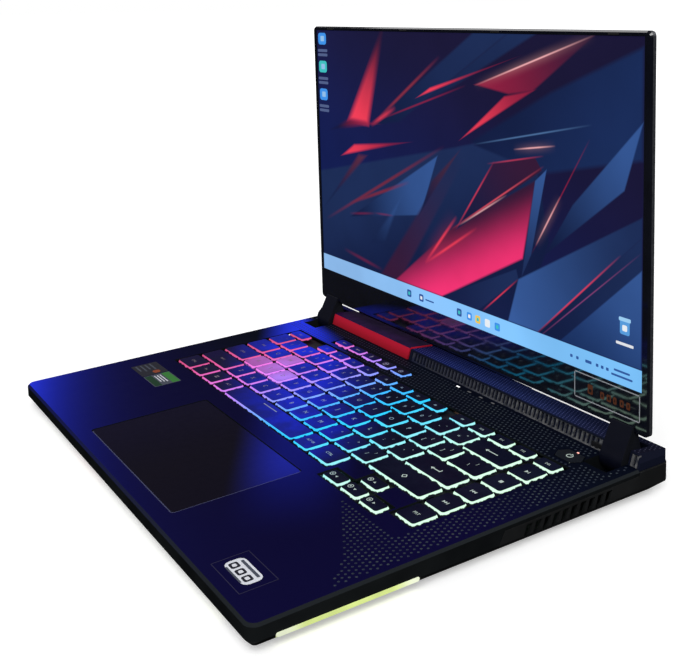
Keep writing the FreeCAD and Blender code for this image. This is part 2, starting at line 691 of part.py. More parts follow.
# ---------------------------------------------------------------- keyboard and pad
def keyboard_plate(z0, z1, hole):
    """Plate under the keys with a square hole for each stem."""
    sheet = keyboard_opening(2.9, z0, z1)
    holes = []
    for cells in KEYS.values():
        for cell in cells:
            y = (cell[2] + cell[3]) / 2
            for x in stem_places(cell):
                holes.append(on_deck(box(x - hole / 2, x + hole / 2, y - hole / 2, y + hole / 2,
                                         z0 - 1, z1 + 1)))
    return cut(sheet, holes)


def touch_pad():
    top = -0.15
    sheet = rounded_box(PAD_LEFT, PAD_RIGHT, PAD_FRONT, PAD_REAR, top - PAD_THICKNESS, top, 2.0)
    edges = [e for e in sheet.Edges if all(abs(v.Z - top) < 1e-6 for v in e.Vertexes)]
    return on_deck(sheet.makeChamfer(0.35, edges))


def pad_frame():
    """Sheet bracket under the pad with its switch pillar."""
    low = -4.6
    frame = box(PAD_LEFT - 6, PAD_RIGHT + 6, PAD_FRONT - 3, PAD_REAR + 3, low, low + 0.8)
    window = box(PAD_LEFT + 14, PAD_RIGHT - 14, PAD_FRONT + 22, PAD_REAR - 12, low - 1, low + 2)
    pillar = box(-5, 5, PAD_FRONT + 6, PAD_FRONT + 14, low, low + 1.8)
    tools = [rod((x, y, 0), (0, 0, 1), 30, 3.5) for x, y in BOSSES]
    return cut(on_deck(join([frame.cut(window), pillar])), tools)


# ---------------------------------------------------------------- inside the base
FAN_X, FAN_Y, FAN_RADIUS = 112.0, 64.0, 27.0
SPINDLE_RADIUS = 1.2


def fan_housing():
    """Right-hand blower housing: floor, side wall with an outlet, and a lid with its inlet."""
    x0, x1, y0, y1 = FAN_X - 31, FAN_X + 31, FAN_Y - 30, FAN_Y + 33
    z0, z1 = FLOOR_Z + 0.4, 9.8
    shell = rounded_box(x0, x1, y0, y1, z0, z1, 6).cut(
        join([rod((FAN_X, FAN_Y, z0 + 0.6), (0, 0, 1), z1 - z0 - 1.2, FAN_RADIUS + 1.5),
              box(FAN_X - 20, FAN_X + 20, FAN_Y, y1 + 1, z0 + 0.6, z1 - 0.6)]))
    inlet = rod((FAN_X, FAN_Y, z1 - 1), (0, 0, 1), 2, 18)
    floor_inlet = rod((FAN_X, FAN_Y, z0 - 1), (0, 0, 1), 2, 16).cut(
        join([rod((FAN_X, FAN_Y, z0 - 1), (0, 0, 1), 2, 6),
              box(FAN_X - 20, FAN_X + 20, FAN_Y - 2, FAN_Y + 2, z0 - 1, z0 + 1)]))
    spindle = rod((FAN_X, FAN_Y, z0 + 0.3), (0, 0, 1), 3.8, SPINDLE_RADIUS)
    return join([cut(shell, [inlet, floor_inlet]), spindle])


def fan_rotor():
    """Right-hand impeller: hub and swept blades."""
    z0, z1 = FLOOR_Z + 1.3, 8.9
    hub = rod((FAN_X, FAN_Y, z0), (0, 0, 1), z1 - z0, 9.0)
    blades = [hub]
    for i in range(24):
        blade = prism_z([(8.5, 0), (17.0, 2.2), (FAN_RADIUS - 1, 6.2), (FAN_RADIUS - 1, 7.2), (17.0, 3.2), (8.5, 1.2)],
                        z0 + 0.3, z1)
        blade.rotate(FreeCAD.Vector(0, 0, 0), FreeCAD.Vector(0, 0, 1), 15 * i)
        blade.translate(FreeCAD.Vector(FAN_X, FAN_Y, 0))
        blades.append(blade)
    bore = rod((FAN_X, FAN_Y, z0 - 1), (0, 0, 1), 6.0, SPINDLE_RADIUS + 0.05)
    return join(blades).cut(bore)


def heat_sink():
    """Right-hand fin stack behind a blower."""
    base = box(83.0, 118.0, 104.0, 125.0, 9.4, 10.0)
    fins = [box(84.0 + 2.5 * i, 84.8 + 2.5 * i, 100.0, 125.0, 9.4, 14.6) for i in range(14)]
    return join([base] + fins)


def mainboard():
    board = box(-78.0, 78.0, -40.0, 96.0, 6.0, 7.2)
    tools = [rod((x, y, 0), (0, 0, 1), 30, 3.6) for x, y in BOSSES]
    return cut(board, tools)


def heat_pipes():
    """Two flattened pipes over the processors, ending on the fin stacks."""
    pipes = []
    for i in range(2):
        y = 85.0 + 20.0 * i
        pipes.append(box(-75.5 + 3 * i, 75.5 - 3 * i, y, y + 4.5, 8.1, 9.6))
    bridges = [box(x, x + 5.0, 85.0, 109.5, 8.1, 9.6) for x in (-60.0, 55.0)]
    plate = box(-52.0, 52.0, 46.0, 95.0, 7.9, 8.4)
    return join(pipes + bridges + [plate])


def battery():
    cells = [rounded_box(-112.0 + 56.5 * i, -58.0 + 56.5 * i, -117.0, -46.0, 5.0, 9.4, 3) for i in range(4)]
    frame = box(-114.0, 114.0, -118.0, -45.0, 4.7, 5.3)
    return cut(join(cells + [frame]), [rod((x, y, 0), (0, 0, 1), 30, 3.6) for x, y in BOSSES])


def speaker():
    body = rounded_box(122.0, 166.0, -113.0, -74.0, 4.7, 10.2, 4)
    cone = rod((144.0, -93.0, 9.5), (0, 0, 1), 2, 11)
    return cut(body, [cone])


def rubber_feet():
    """A long strip at the back and two short ones at the front."""
    rear = rounded_box(-140, 140, 96, 106, 0, FOOT_HEIGHT, 4.9)
    front = rounded_box(96, 146, -108, -100, 0, FOOT_HEIGHT, 3.9)
    front.translate(FreeCAD.Vector(-20, -14, 0))
    return [rear] + both_sides(front)


def bottom_screws():
    screws = []
    for x, y in BOSSES:
        head = rod((x, y, FOOT_HEIGHT + 0.1), (0, 0, 1), 0.8, 2.5)
        shank = rod((x, y, FOOT_HEIGHT + 0.5), (0, 0, 1), 6.5, 0.9)
        socket_hole = rod((x, y, FOOT_HEIGHT), (0, 0, 1), 0.6, 1.0)
        screws.append(join([head, shank]).cut(socket_hole))
    return screws


# ---------------------------------------------------------------- lid
def lid_block(inset):
    """Outside of the lid: a flat rim whose back edges are bevelled, or its inside."""
    half = LID_WIDTH / 2 - inset
    z0, z1 = LID_BOTTOM_Z + inset, LID_TOP_Z - inset
    rim = LID_FACE_Y + 3.6
    back = LID_BACK_Y - inset
    bevel = 7.0
    across = [(-half, LID_FACE_Y), (half, LID_FACE_Y), (half, rim - inset), (half - bevel, back),
              (-half + bevel, back), (-half, rim - inset)]
    up = [(LID_FACE_Y, z0), (rim - inset, z0), (back, z0 + bevel * 0.6), (back, z1 - bevel), (rim - inset, z1),
          (LID_FACE_Y, z1)]
    body = polygon_prism([(x, y, z0) for x, y in across], (0, 0, z1 - z0)).common(prism_x(up, -half, half))
    corner = max(LID_CORNER - inset, 1.0)
    frame = box(-half, half, LID_FACE_Y - 1, LID_BACK_Y + 1, z0, z1)
    along_y = [e for e in frame.Edges if abs(e.Vertexes[0].Y - e.Vertexes[1].Y) > 1]
    return body.common(frame.makeFillet(corner, along_y))


BEZEL_DEPTH = 1.3
PANEL_FRONT = LID_FACE_Y + 0.45
PANEL_DEPTH = 2.2


def lid_back_cover():
    outside = lid_block(0).cut(box(-200, 200, 0, LID_FACE_Y + BEZEL_DEPTH, 0, 300))
    return outside.cut(lid_block(1.2))


def screen_bezel():
    """Front frame with a bevelled outer edge, open where the screen shows."""
    plate = lid_block(0).common(box(-200, 200, 0, LID_FACE_Y + BEZEL_DEPTH, 0, 300))
    front = [e for e in plate.Edges if all(abs(v.Y - LID_FACE_Y) < 1e-6 for v in e.Vertexes)]
    plate = plate.makeChamfer(1.0, front)
    half = SCREEN_WIDTH / 2
    window = box(-half, half, 0, 200, SCREEN_BOTTOM_Z, SCREEN_BOTTOM_Z + SCREEN_HEIGHT)
    rebate = box(-half - 1.5, half + 1.5, PANEL_FRONT, 200, SCREEN_BOTTOM_Z - 3.0,
                 SCREEN_BOTTOM_Z + SCREEN_HEIGHT + 1.2)
    return plate.cut(window).cut(rebate)


def display_panel():
    half = SCREEN_WIDTH / 2 + 1.4
    return box(-half, half, PANEL_FRONT, PANEL_FRONT + PANEL_DEPTH, SCREEN_BOTTOM_Z - 2.9,
               SCREEN_BOTTOM_Z + SCREEN_HEIGHT + 1.1)


def hinge_leaf():
    """Right-hand steel leaf from the arm into the lid."""
    y0 = PANEL_FRONT + PANEL_DEPTH + 0.2
    leaf = box(ARM_INNER + 1, ARM_OUTER - 1, y0, y0 + 1.0, LID_BOTTOM_Z + 3.8, LID_BOTTOM_Z + 62.0)
    holes = [rod((158.7, y0 - 1, LID_BOTTOM_Z + h), (0, 1, 0), 4, 1.1) for h in (24.0, 40.0, 56.0)]
    return cut(leaf, holes)


def lid_bumpers():
    """Small rubber pads on the bezel that rest on the deck when the lid is shut."""
    pads = []
    for x in (-150.0, -50.0, 50.0, 150.0):
        pads.append(box(x - 4, x + 4, LID_FACE_Y - 0.4, LID_FACE_Y, LID_TOP_Z - 2.4, LID_TOP_Z - 1.2))
    return pads


def display_cable():
    """Flat ribbon behind the chin from the panel towards the left arm."""
    y0 = PANEL_FRONT + PANEL_DEPTH + 0.3
    return box(-140.0, -20.0, y0, y0 + 0.4, LID_BOTTOM_Z + 8.0, LID_BOTTOM_Z + 14.0)


# ---------------------------------------------------------------- build
def build():
    block = base_block(0, 0, 0)
    block = block.makeChamfer(DECK_CHAMFER, deck_edges(block))
    shell = block.cut(base_block(WALL, SKIN, SKIN))
    socket_cuts = [place_socket(n, socket_box(n, 0.05, 2.0)) for n in SOCKETS]
    bar_windows, bar_loop = light_bar()
    bar = join([bar_windows, bar_loop])

    save("light_bar", bar)
    save("bottom_cover", bottom_cover(shell, bar, socket_cuts))
    save("rear_panels", rear_panels(shell, socket_cuts))
    save("palm_rest", palm_rest(shell, bar, socket_cuts))
    raised = rear_deck()
    save("rear_deck", raised)
    grille = front_grille()
    cap = accent_cap()
    save("front_grille", grille)
    save("accent_cap", cap)
    save("status_lights", status_lights(0.05, -2.0))

    for name, cells in KEYS.items():
        save(name, [keycap(cell) for cell in cells])
    save("keyboard_plate", keyboard_plate(PLATE_TOP - PLATE_THICKNESS, PLATE_TOP, STEM_HOLE))
    save("keyboard_backlight", keyboard_plate(PLATE_TOP - 1.1, PLATE_TOP - PLATE_THICKNESS, STEM_HOLE + 1))
    save("touch_pad", touch_pad())
    save("touch_pad_frame", pad_frame())
    save("power_button", power_button_block(0, -2.0, 0.35))

    for name in ("audio_socket", "power_inlet", "network_socket", "display_socket"):
        save(name, socket(name))
    save("usb_sockets", [socket(name) for name in SOCKETS if name.startswith("usb")])
    save("fan_housings", both_sides(fan_housing()))
    save("fan_rotor_right", fan_rotor())
    save("fan_rotor_left", mirrored(fan_rotor()))
    save("heat_sinks", both_sides(heat_sink()))
    save("heat_pipes", heat_pipes())
    save("mainboard", mainboard())
    save("battery", battery())
    save("speakers", both_sides(speaker()))
    save("memory_modules", [box(-60, 8, -36, -22, 7.3, 8.5), box(-60, 8, -18, -4, 7.3, 8.5)])
    save("solid_state_drive", box(16, 76, -32, -10, 7.3, 8.7))
    save("rubber_feet", rubber_feet())
    save("bottom_screws", bottom_screws())
    save("hinge_brackets", [cut(b, raised + grille + [cap]) for b in both_sides(hinge_bracket())])
    save("hinge_shafts", both_sides(hinge_shaft()))

    save("hinge_arm_right", hinge_arm())
    save("hinge_arm_left", mirrored(hinge_arm()))
    save("lid_back_cover", lid_back_cover())
    save("screen_bezel", screen_bezel())
    save("display_panel", display_panel())
    save("hinge_leaves", both_sides(hinge_leaf()))
    save("lid_bumpers", lid_bumpers())
    save("display_cable", display_cable())


build()
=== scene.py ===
import math

import bmesh
import bpy
from mathutils import Matrix, Vector


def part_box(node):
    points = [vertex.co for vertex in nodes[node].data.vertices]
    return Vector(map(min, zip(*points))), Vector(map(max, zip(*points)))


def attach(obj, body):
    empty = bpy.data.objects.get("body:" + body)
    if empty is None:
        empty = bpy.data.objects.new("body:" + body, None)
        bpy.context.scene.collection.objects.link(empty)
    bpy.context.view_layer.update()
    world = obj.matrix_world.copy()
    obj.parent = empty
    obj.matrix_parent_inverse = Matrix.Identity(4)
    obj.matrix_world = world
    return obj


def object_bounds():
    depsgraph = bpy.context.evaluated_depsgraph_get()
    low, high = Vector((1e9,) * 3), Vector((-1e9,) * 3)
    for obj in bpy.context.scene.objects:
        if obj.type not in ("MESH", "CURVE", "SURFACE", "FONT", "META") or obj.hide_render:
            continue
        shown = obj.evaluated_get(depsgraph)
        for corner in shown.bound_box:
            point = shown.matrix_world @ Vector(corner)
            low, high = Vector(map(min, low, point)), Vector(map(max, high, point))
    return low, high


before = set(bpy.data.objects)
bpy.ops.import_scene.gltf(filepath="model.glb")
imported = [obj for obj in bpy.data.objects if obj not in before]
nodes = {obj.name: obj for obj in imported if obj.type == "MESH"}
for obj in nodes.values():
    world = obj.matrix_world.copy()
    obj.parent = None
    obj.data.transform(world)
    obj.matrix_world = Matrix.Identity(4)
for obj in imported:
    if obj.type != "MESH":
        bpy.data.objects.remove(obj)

cad_box = [list(corner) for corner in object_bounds()]
MM = 0.001
QUARTER_TURN = math.radians(90)


# ------------ places
def placed(spot, turn, axis="X"):
    """Frame in millimetres at a spot, turned about one of its axes."""
    return Matrix.Scale(MM, 4) @ Matrix.Translation(spot) @ Matrix.Rotation(turn, 4, axis)


# Deck frame: x and y over a flat deck, height above it, all in millimetres.
TILT = math.radians(0.9)
DECK_MIDDLE_Z = 16.434
ON_DECK = placed((0, 0, DECK_MIDDLE_Z), TILT)
# Lid frame: x, height above the lit area's lower edge, and distance in front of the lid's face.
LID_FACE_Y = 111.0
LIT_BOTTOM_Z = 58.6
LIT_WIDTH, LIT_HEIGHT = 344.2, 193.6
ON_LID = placed((0, LID_FACE_Y, LIT_BOTTOM_Z), QUARTER_TURN)
KEY_TOP = 0.5


# ------------ material helpers
class Paint:
    """A material under construction: adds nodes, links them and hands back their outputs."""

    def __init__(self, name):
        self.material = bpy.data.materials.new(name)
        self.material.use_nodes = True
        self.tree = self.material.node_tree
        self.shader = self.tree.nodes["Principled BSDF"]

    def node(self, kind, inputs=(), **settings):
        made = self.tree.nodes.new(kind)
        for key, value in settings.items():
            setattr(made, key, value)
        for socket, value in dict(inputs).items():
            self.feed(made.inputs[socket], value)
        return made

    def feed(self, socket, value):
        if isinstance(value, bpy.types.NodeSocket):
            self.tree.links.new(value, socket)
        else:
            socket.default_value = value

    def set(self, **values):
        """Sets the Principled shader's sockets; underscores in the names stand for spaces."""
        for key, value in values.items():
            self.feed(self.shader.inputs[key.replace("_", " ")], value)

    def math(self, operation, a, b=0.0, c=0.0, clamp=False):
        made = self.tree.nodes.new("ShaderNodeMath")
        made.operation = operation
        made.use_clamp = clamp
        for socket, value in zip(made.inputs, (a, b, c)):
            self.feed(socket, value)
        return made.outputs[0]

    def times(self, a, b, clamp=False):
        return self.math("MULTIPLY", a, b, clamp=clamp)

    def vector_math(self, operation, *values):
        made = self.node("ShaderNodeVectorMath", operation=operation)
        for socket, value in zip(made.inputs, values):
            self.feed(socket, value)
        return made.outputs

    def place(self):
        """Where a point lies at rest, in metres."""
        return self.node("ShaderNodeTexCoord").outputs["Object"]

    def millimetres(self, offset=(0.0, 0.0, 0.0)):
        return self.vector_math("MULTIPLY_ADD", self.place(), (1000.0, 1000.0, 1000.0), offset)[0]

    def along(self, vector, direction, offset=0.0):
        """Distance along a direction, less an offset."""
        distance = self.vector_math("DOT_PRODUCT", vector, direction)["Value"]
        return self.math("SUBTRACT", distance, offset)

    def across(self):
        """Distance to the right of the middle, in millimetres."""
        return self.along(self.millimetres(), (1, 0, 0))

    def near(self, vector, centre, radius, inner=0.0):
        """1 at a place and 0 from the radius out, with a smooth fall between."""
        distance = self.vector_math("DISTANCE", vector, centre)["Value"]
        return self.span(distance, radius, inner)

    def span(self, value, low, high, low_out=0.0, high_out=1.0):
        made = self.node("ShaderNodeMapRange", interpolation_type="SMOOTHSTEP")
        self.feed(made.inputs["Value"], value)
        limits = {"From Min": low, "From Max": high, "To Min": low_out, "To Max": high_out}
        for key, number in limits.items():
            made.inputs[key].default_value = number
        return made.outputs["Result"]

    def mix(self, share, a, b, blend="MIX"):
        made = self.node("ShaderNodeMix", data_type="RGBA", blend_type=blend)
        self.feed(made.inputs[0], share)
        for socket, value in ((made.inputs[6], a), (made.inputs[7], b)):
            self.feed(socket, (*value, 1.0) if isinstance(value, tuple) and len(value) == 3 else value)
        return made.outputs[2]

    def noise(self, scale, detail=3.0, roughness=0.55, stretch=None):
        vector = self.place()
        if stretch:
            vector = self.vector_math("MULTIPLY", vector, stretch)[0]
        made = self.node("ShaderNodeTexNoise", {"Vector": vector, "Scale": scale, "Detail": detail,
                                                "Roughness": roughness})
        return made.outputs["Fac"]

    def patchy(self, scale, detail, low=0.0, high=1.0):
        """Noise whose middle stretch runs from one value to another."""
        return self.span(self.noise(scale, detail), 0.3, 0.7, low, high)

    def ramp(self, value, stops):
        made = self.node("ShaderNodeValToRGB", {"Fac": value})
        ramp = made.color_ramp
        while len(ramp.elements) < len(stops):
            ramp.elements.new(0.5)
        for element, (place, colour) in zip(ramp.elements, stops):
            element.position = place
            element.color = (*colour, 1.0)
        return made.outputs["Color"]

    def facing(self, axis):
        """Component of the surface's direction along an axis, 0, 1 or 2, as it is at rest."""
        turned = self.node("ShaderNodeVectorTransform", vector_type="NORMAL", convert_from="WORLD",
                           convert_to="OBJECT")
        self.feed(turned.inputs[0], self.node("ShaderNodeNewGeometry").outputs["True Normal"])
        parts = self.node("ShaderNodeSeparateXYZ")
        self.feed(parts.inputs[0], turned.outputs[0])
        return parts.outputs[axis]

    def relief(self, height, distance, strength=0.5, edge=None):
        """Small relief from a height, over edges rounded by a few tenths of a millimetre."""
        made = self.node("ShaderNodeBump", {"Height": height, "Distance": distance, "Strength": strength})
        if edge:
            rounding = self.node("ShaderNodeBevel", {"Radius": edge}, samples=4)
            self.tree.links.new(rounding.outputs["Normal"], made.inputs["Normal"])
        self.feed(self.shader.inputs["Normal"], made.outputs["Normal"])

    def grain(self, scale, detail, distance, strength=0.5, edge=None):
        self.relief(self.noise(scale, detail), distance, strength, edge)


def dress(paint, *names):
    for name in names:
        mesh = nodes[name].data
        mesh.materials.clear()
        mesh.materials.append(paint.material)


def plain_surface(name, colour, roughness, grain=2500.0, depth=0.00004, variation=0.25, edge=0.0003,
                  **sockets):
    """Moulded or sheet surface: a grain, a slow change of tone and wear in its roughness."""
    paint = Paint(name)
    dark = tuple(c * (1 - variation) for c in colour)
    light = tuple(min(1.0, c * (1 + variation)) for c in colour)
    paint.set(Base_Color=paint.mix(paint.patchy(22.0, 4.0), dark, light))
    paint.set(Roughness=paint.span(paint.noise(90.0, 5.0), 0.25, 0.75, roughness - 0.06, roughness + 0.06))
    paint.grain(grain, 2.0, depth, 0.5, edge)
    paint.set(**sockets)
    return paint


BASE_WIDTH = 354.0
BACKLIGHT_WIDTH = 320.0
BACKLIGHT = [
    (0.02, (0.50, 0.06, 0.16)), (0.12, (0.66, 0.09, 0.30)), (0.22, (0.66, 0.15, 0.60)),
    (0.31, (0.44, 0.20, 0.88)), (0.40, (0.20, 0.30, 0.95)), (0.49, (0.04, 0.42, 0.98)),
    (0.58, (0.02, 0.54, 0.96)), (0.66, (0.10, 0.64, 0.88)), (0.74, (0.36, 0.80, 0.76)),
    (0.82, (0.58, 0.90, 0.70)), (1.00, (0.62, 0.90, 0.68)),
]


def backlight(paint):
    """Colour of the key light from left to right."""
    share = paint.math("MULTIPLY_ADD", paint.across(), 1 / BACKLIGHT_WIDTH, 0.5)
    return paint.ramp(share, BACKLIGHT)


DECK_NAVY = (0.0030, 0.0022, 0.030)
DECK_BLACK = (0.0022, 0.0036, 0.010)
# Blue of the painted light and sheen on the deck.
DECK_SHEEN_BLUE = (0.020, 0.045, 1.0)


def sheen(paint, half_width=38.0):
    """Painted blue sheen: a band of blue light that crosses the deck from the left rear to the right front,
    0 to 1.
    """
    where = paint.millimetres()
    off = paint.math("ABSOLUTE", paint.along(where, (0.509, 0.861, 0.0), -8.2))
    on = paint.along(where, (0.861, -0.509, 0.0))
    across = paint.span(off, half_width, 3.0)
    strength = paint.times(paint.span(on, 150.0, 45.0), paint.span(on, 40.0, -190.0, 0.5, 0.95))
    behind_keys = paint.span(paint.along(where, (0.06, 1.0, 0.0)), 90.0, 76.0)
    return paint.times(paint.times(across, strength), behind_keys)


def deck_tint_and_sheen(paint):
    """Black deck that turns navy to the front, with painted blue light on the left rear corner and the
    painted blue sheen band.
    """
    where = paint.millimetres()
    to_front = paint.along(where, (0.10, -0.99, 0.0))
    base = paint.mix(paint.span(to_front, -72.0, 40.0), DECK_BLACK, DECK_NAVY)
    # Painted light: blue light that fades out from the left rear corner.
    fall = paint.times(paint.along(where, (1 / 62.0, 1 / 21.0, 0.0), -9.0), -1.0)
    corner = paint.times(paint.math("EXPONENT", fall), 0.85)
    to_rear = paint.span(paint.along(where, (0, 1, 0)), -34.0, 10.0, 0.25, 1.0)
    # Painted blue sheen, weaker towards the front.
    band = paint.times(sheen(paint), to_rear)
    glow = paint.math("ADD", corner, band, clamp=True)
    return paint.mix(glow, base, DECK_SHEEN_BLUE)


# ------------ materials of the base
deck = Paint("deck_plastic")
up = deck.facing(2)
side_tone = deck.mix(deck.patchy(30.0, 3.0), (0.006, 0.007, 0.008), (0.011, 0.013, 0.014))
# Painted highlight on the edge bevel: blue on the left, light grey on the right.
bevel_highlight = deck.mix(deck.span(deck.across(), -150.0, 170.0),
                      (0.006, 0.008, 0.07), (0.015, 0.018, 0.021))
edge_tone_and_highlight = deck.mix(deck.span(up, 0.15, 0.30), side_tone, bevel_highlight)
deck.set(Base_Color=deck.mix(deck.span(up, 0.90, 0.97), edge_tone_and_highlight, deck_tint_and_sheen(deck)))
deck.set(Roughness=deck.patchy(60.0, 4.0, 0.50, 0.60), Specular_IOR_Level=0.02)
deck.grain(3000.0, 2.0, 0.00003, 0.4, 0.0003)
dress(deck, "palm_rest")

cover = plain_surface("cover_plastic", (0.012, 0.013, 0.014), 0.52, 2200.0, 0.00006, 0.3, 0.0003,
                      Specular_IOR_Level=0.3)
dress(cover, "bottom_cover", "rear_panels")

rear = Paint("rear_deck_plastic")
rear_up = rear.facing(2)
rear_x = rear.across()
rear_top = rear.ramp(rear.math("MULTIPLY_ADD", rear_x, 1 / BASE_WIDTH, 0.5), [
    (0.0, (0.006, 0.006, 0.06)), (0.3, (0.010, 0.008, 0.05)), (0.5, (0.008, 0.014, 0.075)),
    (0.75, (0.010, 0.016, 0.060)), (1.0, (0.008, 0.008, 0.016))])
rear.set(Base_Color=rear.mix(rear.span(rear_up, 0.4, 0.8), (0.008, 0.010, 0.022), rear_top))
rear.set(Roughness=rear.patchy(60.0, 4.0, 0.45, 0.56), Specular_IOR_Level=0.0)
rear.grain(2600.0, 2.0, 0.00004, 0.5, 0.0004)
dress(rear, "rear_deck")

cap = Paint("red_plastic")
cap_low = cap.span(cap.along(cap.millimetres(), (0, 0, 1)), 18.0, 25.0)
cap_front = cap.mix(cap_low, (0.22, 0.006, 0.014), (0.42, 0.010, 0.030))
# Painted reflection: the cap's top is painted dark purple for the display's blue light on the red plastic.
cap_top_reflection = cap.mix(cap.patchy(40.0, 3.0), (0.012, 0.004, 0.030), (0.022, 0.006, 0.045))
cap_up = cap.span(cap.facing(2), 0.6, 0.9)
cap.set(Base_Color=cap.mix(cap_up, cap_front, cap_top_reflection))
cap.set(Roughness=cap.patchy(120.0, 4.0, 0.34, 0.44), Specular_IOR_Level=0.02)
# Painted glow: the cap's front faces glow faintly red, though the cap holds no lamp.
cap.set(Emission_Color=(0.9, 0.02, 0.05, 1.0))
cap.set(Emission_Strength=cap.math("MULTIPLY_ADD", cap_up, -0.08, 0.08))
cap.grain(1800.0, 2.0, 0.00002, 0.3, 0.0004)
dress(cap, "accent_cap")

ribs = Paint("grille_metal")
rib_x = ribs.across()
rib_tone = ribs.mix(ribs.span(rib_x, -40.0, 110.0), (0.010, 0.014, 0.040), (0.14, 0.14, 0.145))
ribs.set(Base_Color=ribs.mix(ribs.span(ribs.noise(300.0, 3.0), 0.35, 0.65), rib_tone, (0.03, 0.033, 0.045)))
ribs.set(Roughness=0.45, Specular_IOR_Level=0.4)
ribs.grain(2500.0, 2.0, 0.00003, 0.4, 0.0002)
dress(ribs, "front_grille")

guide = Paint("light_guide")
guide_x = guide.across()
guide_red = guide.near(guide.millimetres(), (-50.0, -128.0, 5.0), 46.0, 4.0)
guide_lit = guide.mix(guide.span(guide_x, 120.0, 168.0), (0.20, 0.22, 0.06), (0.72, 0.80, 0.26))
guide_lit = guide.mix(guide_red, guide_lit, (0.95, 0.10, 0.05))
guide_glow = guide.mix(guide.span(guide.noise(120.0, 3.0), 0.2, 0.8), guide_lit, (0.75, 0.8, 0.45))
guide.set(Base_Color=(0.75, 0.78, 0.70, 1.0), Roughness=0.35)
guide.set(Emission_Color=guide.mix(0.25, guide_lit, guide_glow))
guide.set(Emission_Strength=guide.span(guide_x, 100.0, 168.0, 0.16, 0.9))
guide.grain(900.0, 2.0, 0.00004, 0.3)
dress(guide, "light_bar")

lens = Paint("light_lens")
lens_off = lens.math("ABSOLUTE", lens.along(lens.millimetres(), (0, 1, 0), -79.0))
lens_tone = lens.mix(lens.span(lens_off, 22.0, 34.0), (0.62, 0.74, 0.22), (0.78, 0.82, 0.66))
lens.set(Base_Color=(0.30, 0.34, 0.16, 1.0), Roughness=0.4, Emission_Color=lens_tone)
lens.set(Emission_Strength=lens.patchy(80.0, 3.0, 0.75, 0.95))

lamp = Paint("light_window")
lamp_first = lamp.span(lamp.across(), 30.0, 22.0)
lamp.set(Base_Color=lamp.mix(lamp.noise(900.0), (0.02, 0.02, 0.02), (0.05, 0.05, 0.05)), Roughness=0.3)
lamp.set(Emission_Color=lamp.mix(lamp_first, (0.75, 0.75, 0.8), (1.0, 1.0, 1.0)))
lamp.set(Emission_Strength=lamp.math("MULTIPLY_ADD", lamp_first, 1.6, 0.12))
dress(lamp, "status_lights")


# ------------ materials of the keys and the pad
def key_paint(name, top_dark, top_sheen, top_glow, skirt_glow):
    """Keycap whose milky skirt shines below the painted rim of its top, down to a ragged end, with a
    painted blue sheen on its top.
    """
    paint = Paint(name)
    up_facing = paint.span(paint.facing(2), 0.70, 0.90)
    left_share = paint.span(paint.across(), 10.0, -120.0)
    top = paint.mix(left_share, top_dark, (0.010, 0.006, 0.050))
    # Painted blue sheen on the key tops, faded out towards the right.
    lit_side = paint.span(paint.across(), 82.0, 30.0, 0.0, 1.35)
    top = paint.mix(paint.times(sheen(paint, 62.0), lit_side, clamp=True), top, top_sheen)
    top = paint.mix(paint.span(paint.noise(45.0, 4.0), 0.35, 0.65), top,
                    paint.mix(0.5, top, (0.010, 0.012, 0.030)))
    paint.set(Base_Color=paint.mix(up_facing, paint.mix(0.5, top_dark, (0.02, 0.02, 0.03)), top))
    paint.set(Roughness=paint.patchy(260.0, 4.0, 0.42, 0.52), Specular_IOR_Level=0.04)
    paint.set(Emission_Color=backlight(paint))
    height = paint.along(paint.millimetres(), (0.0, -math.sin(TILT), math.cos(TILT)),
                         DECK_MIDDLE_Z * math.cos(TILT))
    ragged = paint.math("MULTIPLY_ADD", paint.noise(260.0, 4.0), 3.0, -1.5)
    above_end = paint.span(paint.math("ADD", height, ragged), -1.00, -0.60)
    below_rim = paint.span(height, KEY_TOP - 0.08, KEY_TOP - 0.28)
    skirt = paint.times(paint.times(above_end, below_rim), skirt_glow)
    glow = paint.math("MULTIPLY_ADD", up_facing, paint.math("SUBTRACT", top_glow, skirt), skirt)
    paint.set(Emission_Strength=glow)
    paint.grain(3200.0, 2.0, 0.00003, 0.4, 0.0002)
    return paint


CLEAR_KEYS = ("letter_w_key", "letter_asd_keys")
KEY_NODES = [n for n in nodes if n.endswith(("_key", "_keys")) or n == "space_bar"]
dark_keys = key_paint("keycap", (0.0030, 0.0035, 0.016), (0.012, 0.030, 0.80), 0.0, 1.3)
clear_keys = key_paint("clear_keycap", (0.30, 0.14, 0.62), (0.30, 0.18, 0.80), 0.46, 1.3)
dress(dark_keys, *[n for n in KEY_NODES if n not in CLEAR_KEYS])
dress(clear_keys, *CLEAR_KEYS)

film = Paint("backlight_film")
film.set(Base_Color=(0.02, 0.02, 0.025, 1.0), Roughness=0.6, Emission_Color=backlight(film))
film.set(Emission_Strength=film.span(film.noise(220.0, 3.0), 0.35, 0.7, 0.02, 0.22))
dress(film, "keyboard_backlight")

plate = Paint("plate_metal")
plate.set(Base_Color=plate.mix(plate.noise(400.0), (0.006, 0.006, 0.010), (0.014, 0.014, 0.020)))
plate.set(Roughness=0.6, Emission_Color=backlight(plate))
plate.set(Emission_Strength=plate.span(plate.noise(90.0), 0.2, 0.8, 0.0, 0.012))
plate.grain(1500.0, 2.0, 0.00003, 0.4)
dress(plate, "keyboard_plate")

button = plain_surface("button_plastic", (0.003, 0.005, 0.010), 0.42, 2600.0, 0.00003, 0.3, 0.0003,
                       Specular_IOR_Level=0.25)
dress(button, "power_button")

pad = Paint("pad_surface")
pad_up = pad.span(pad.facing(2), 0.5, 0.9)
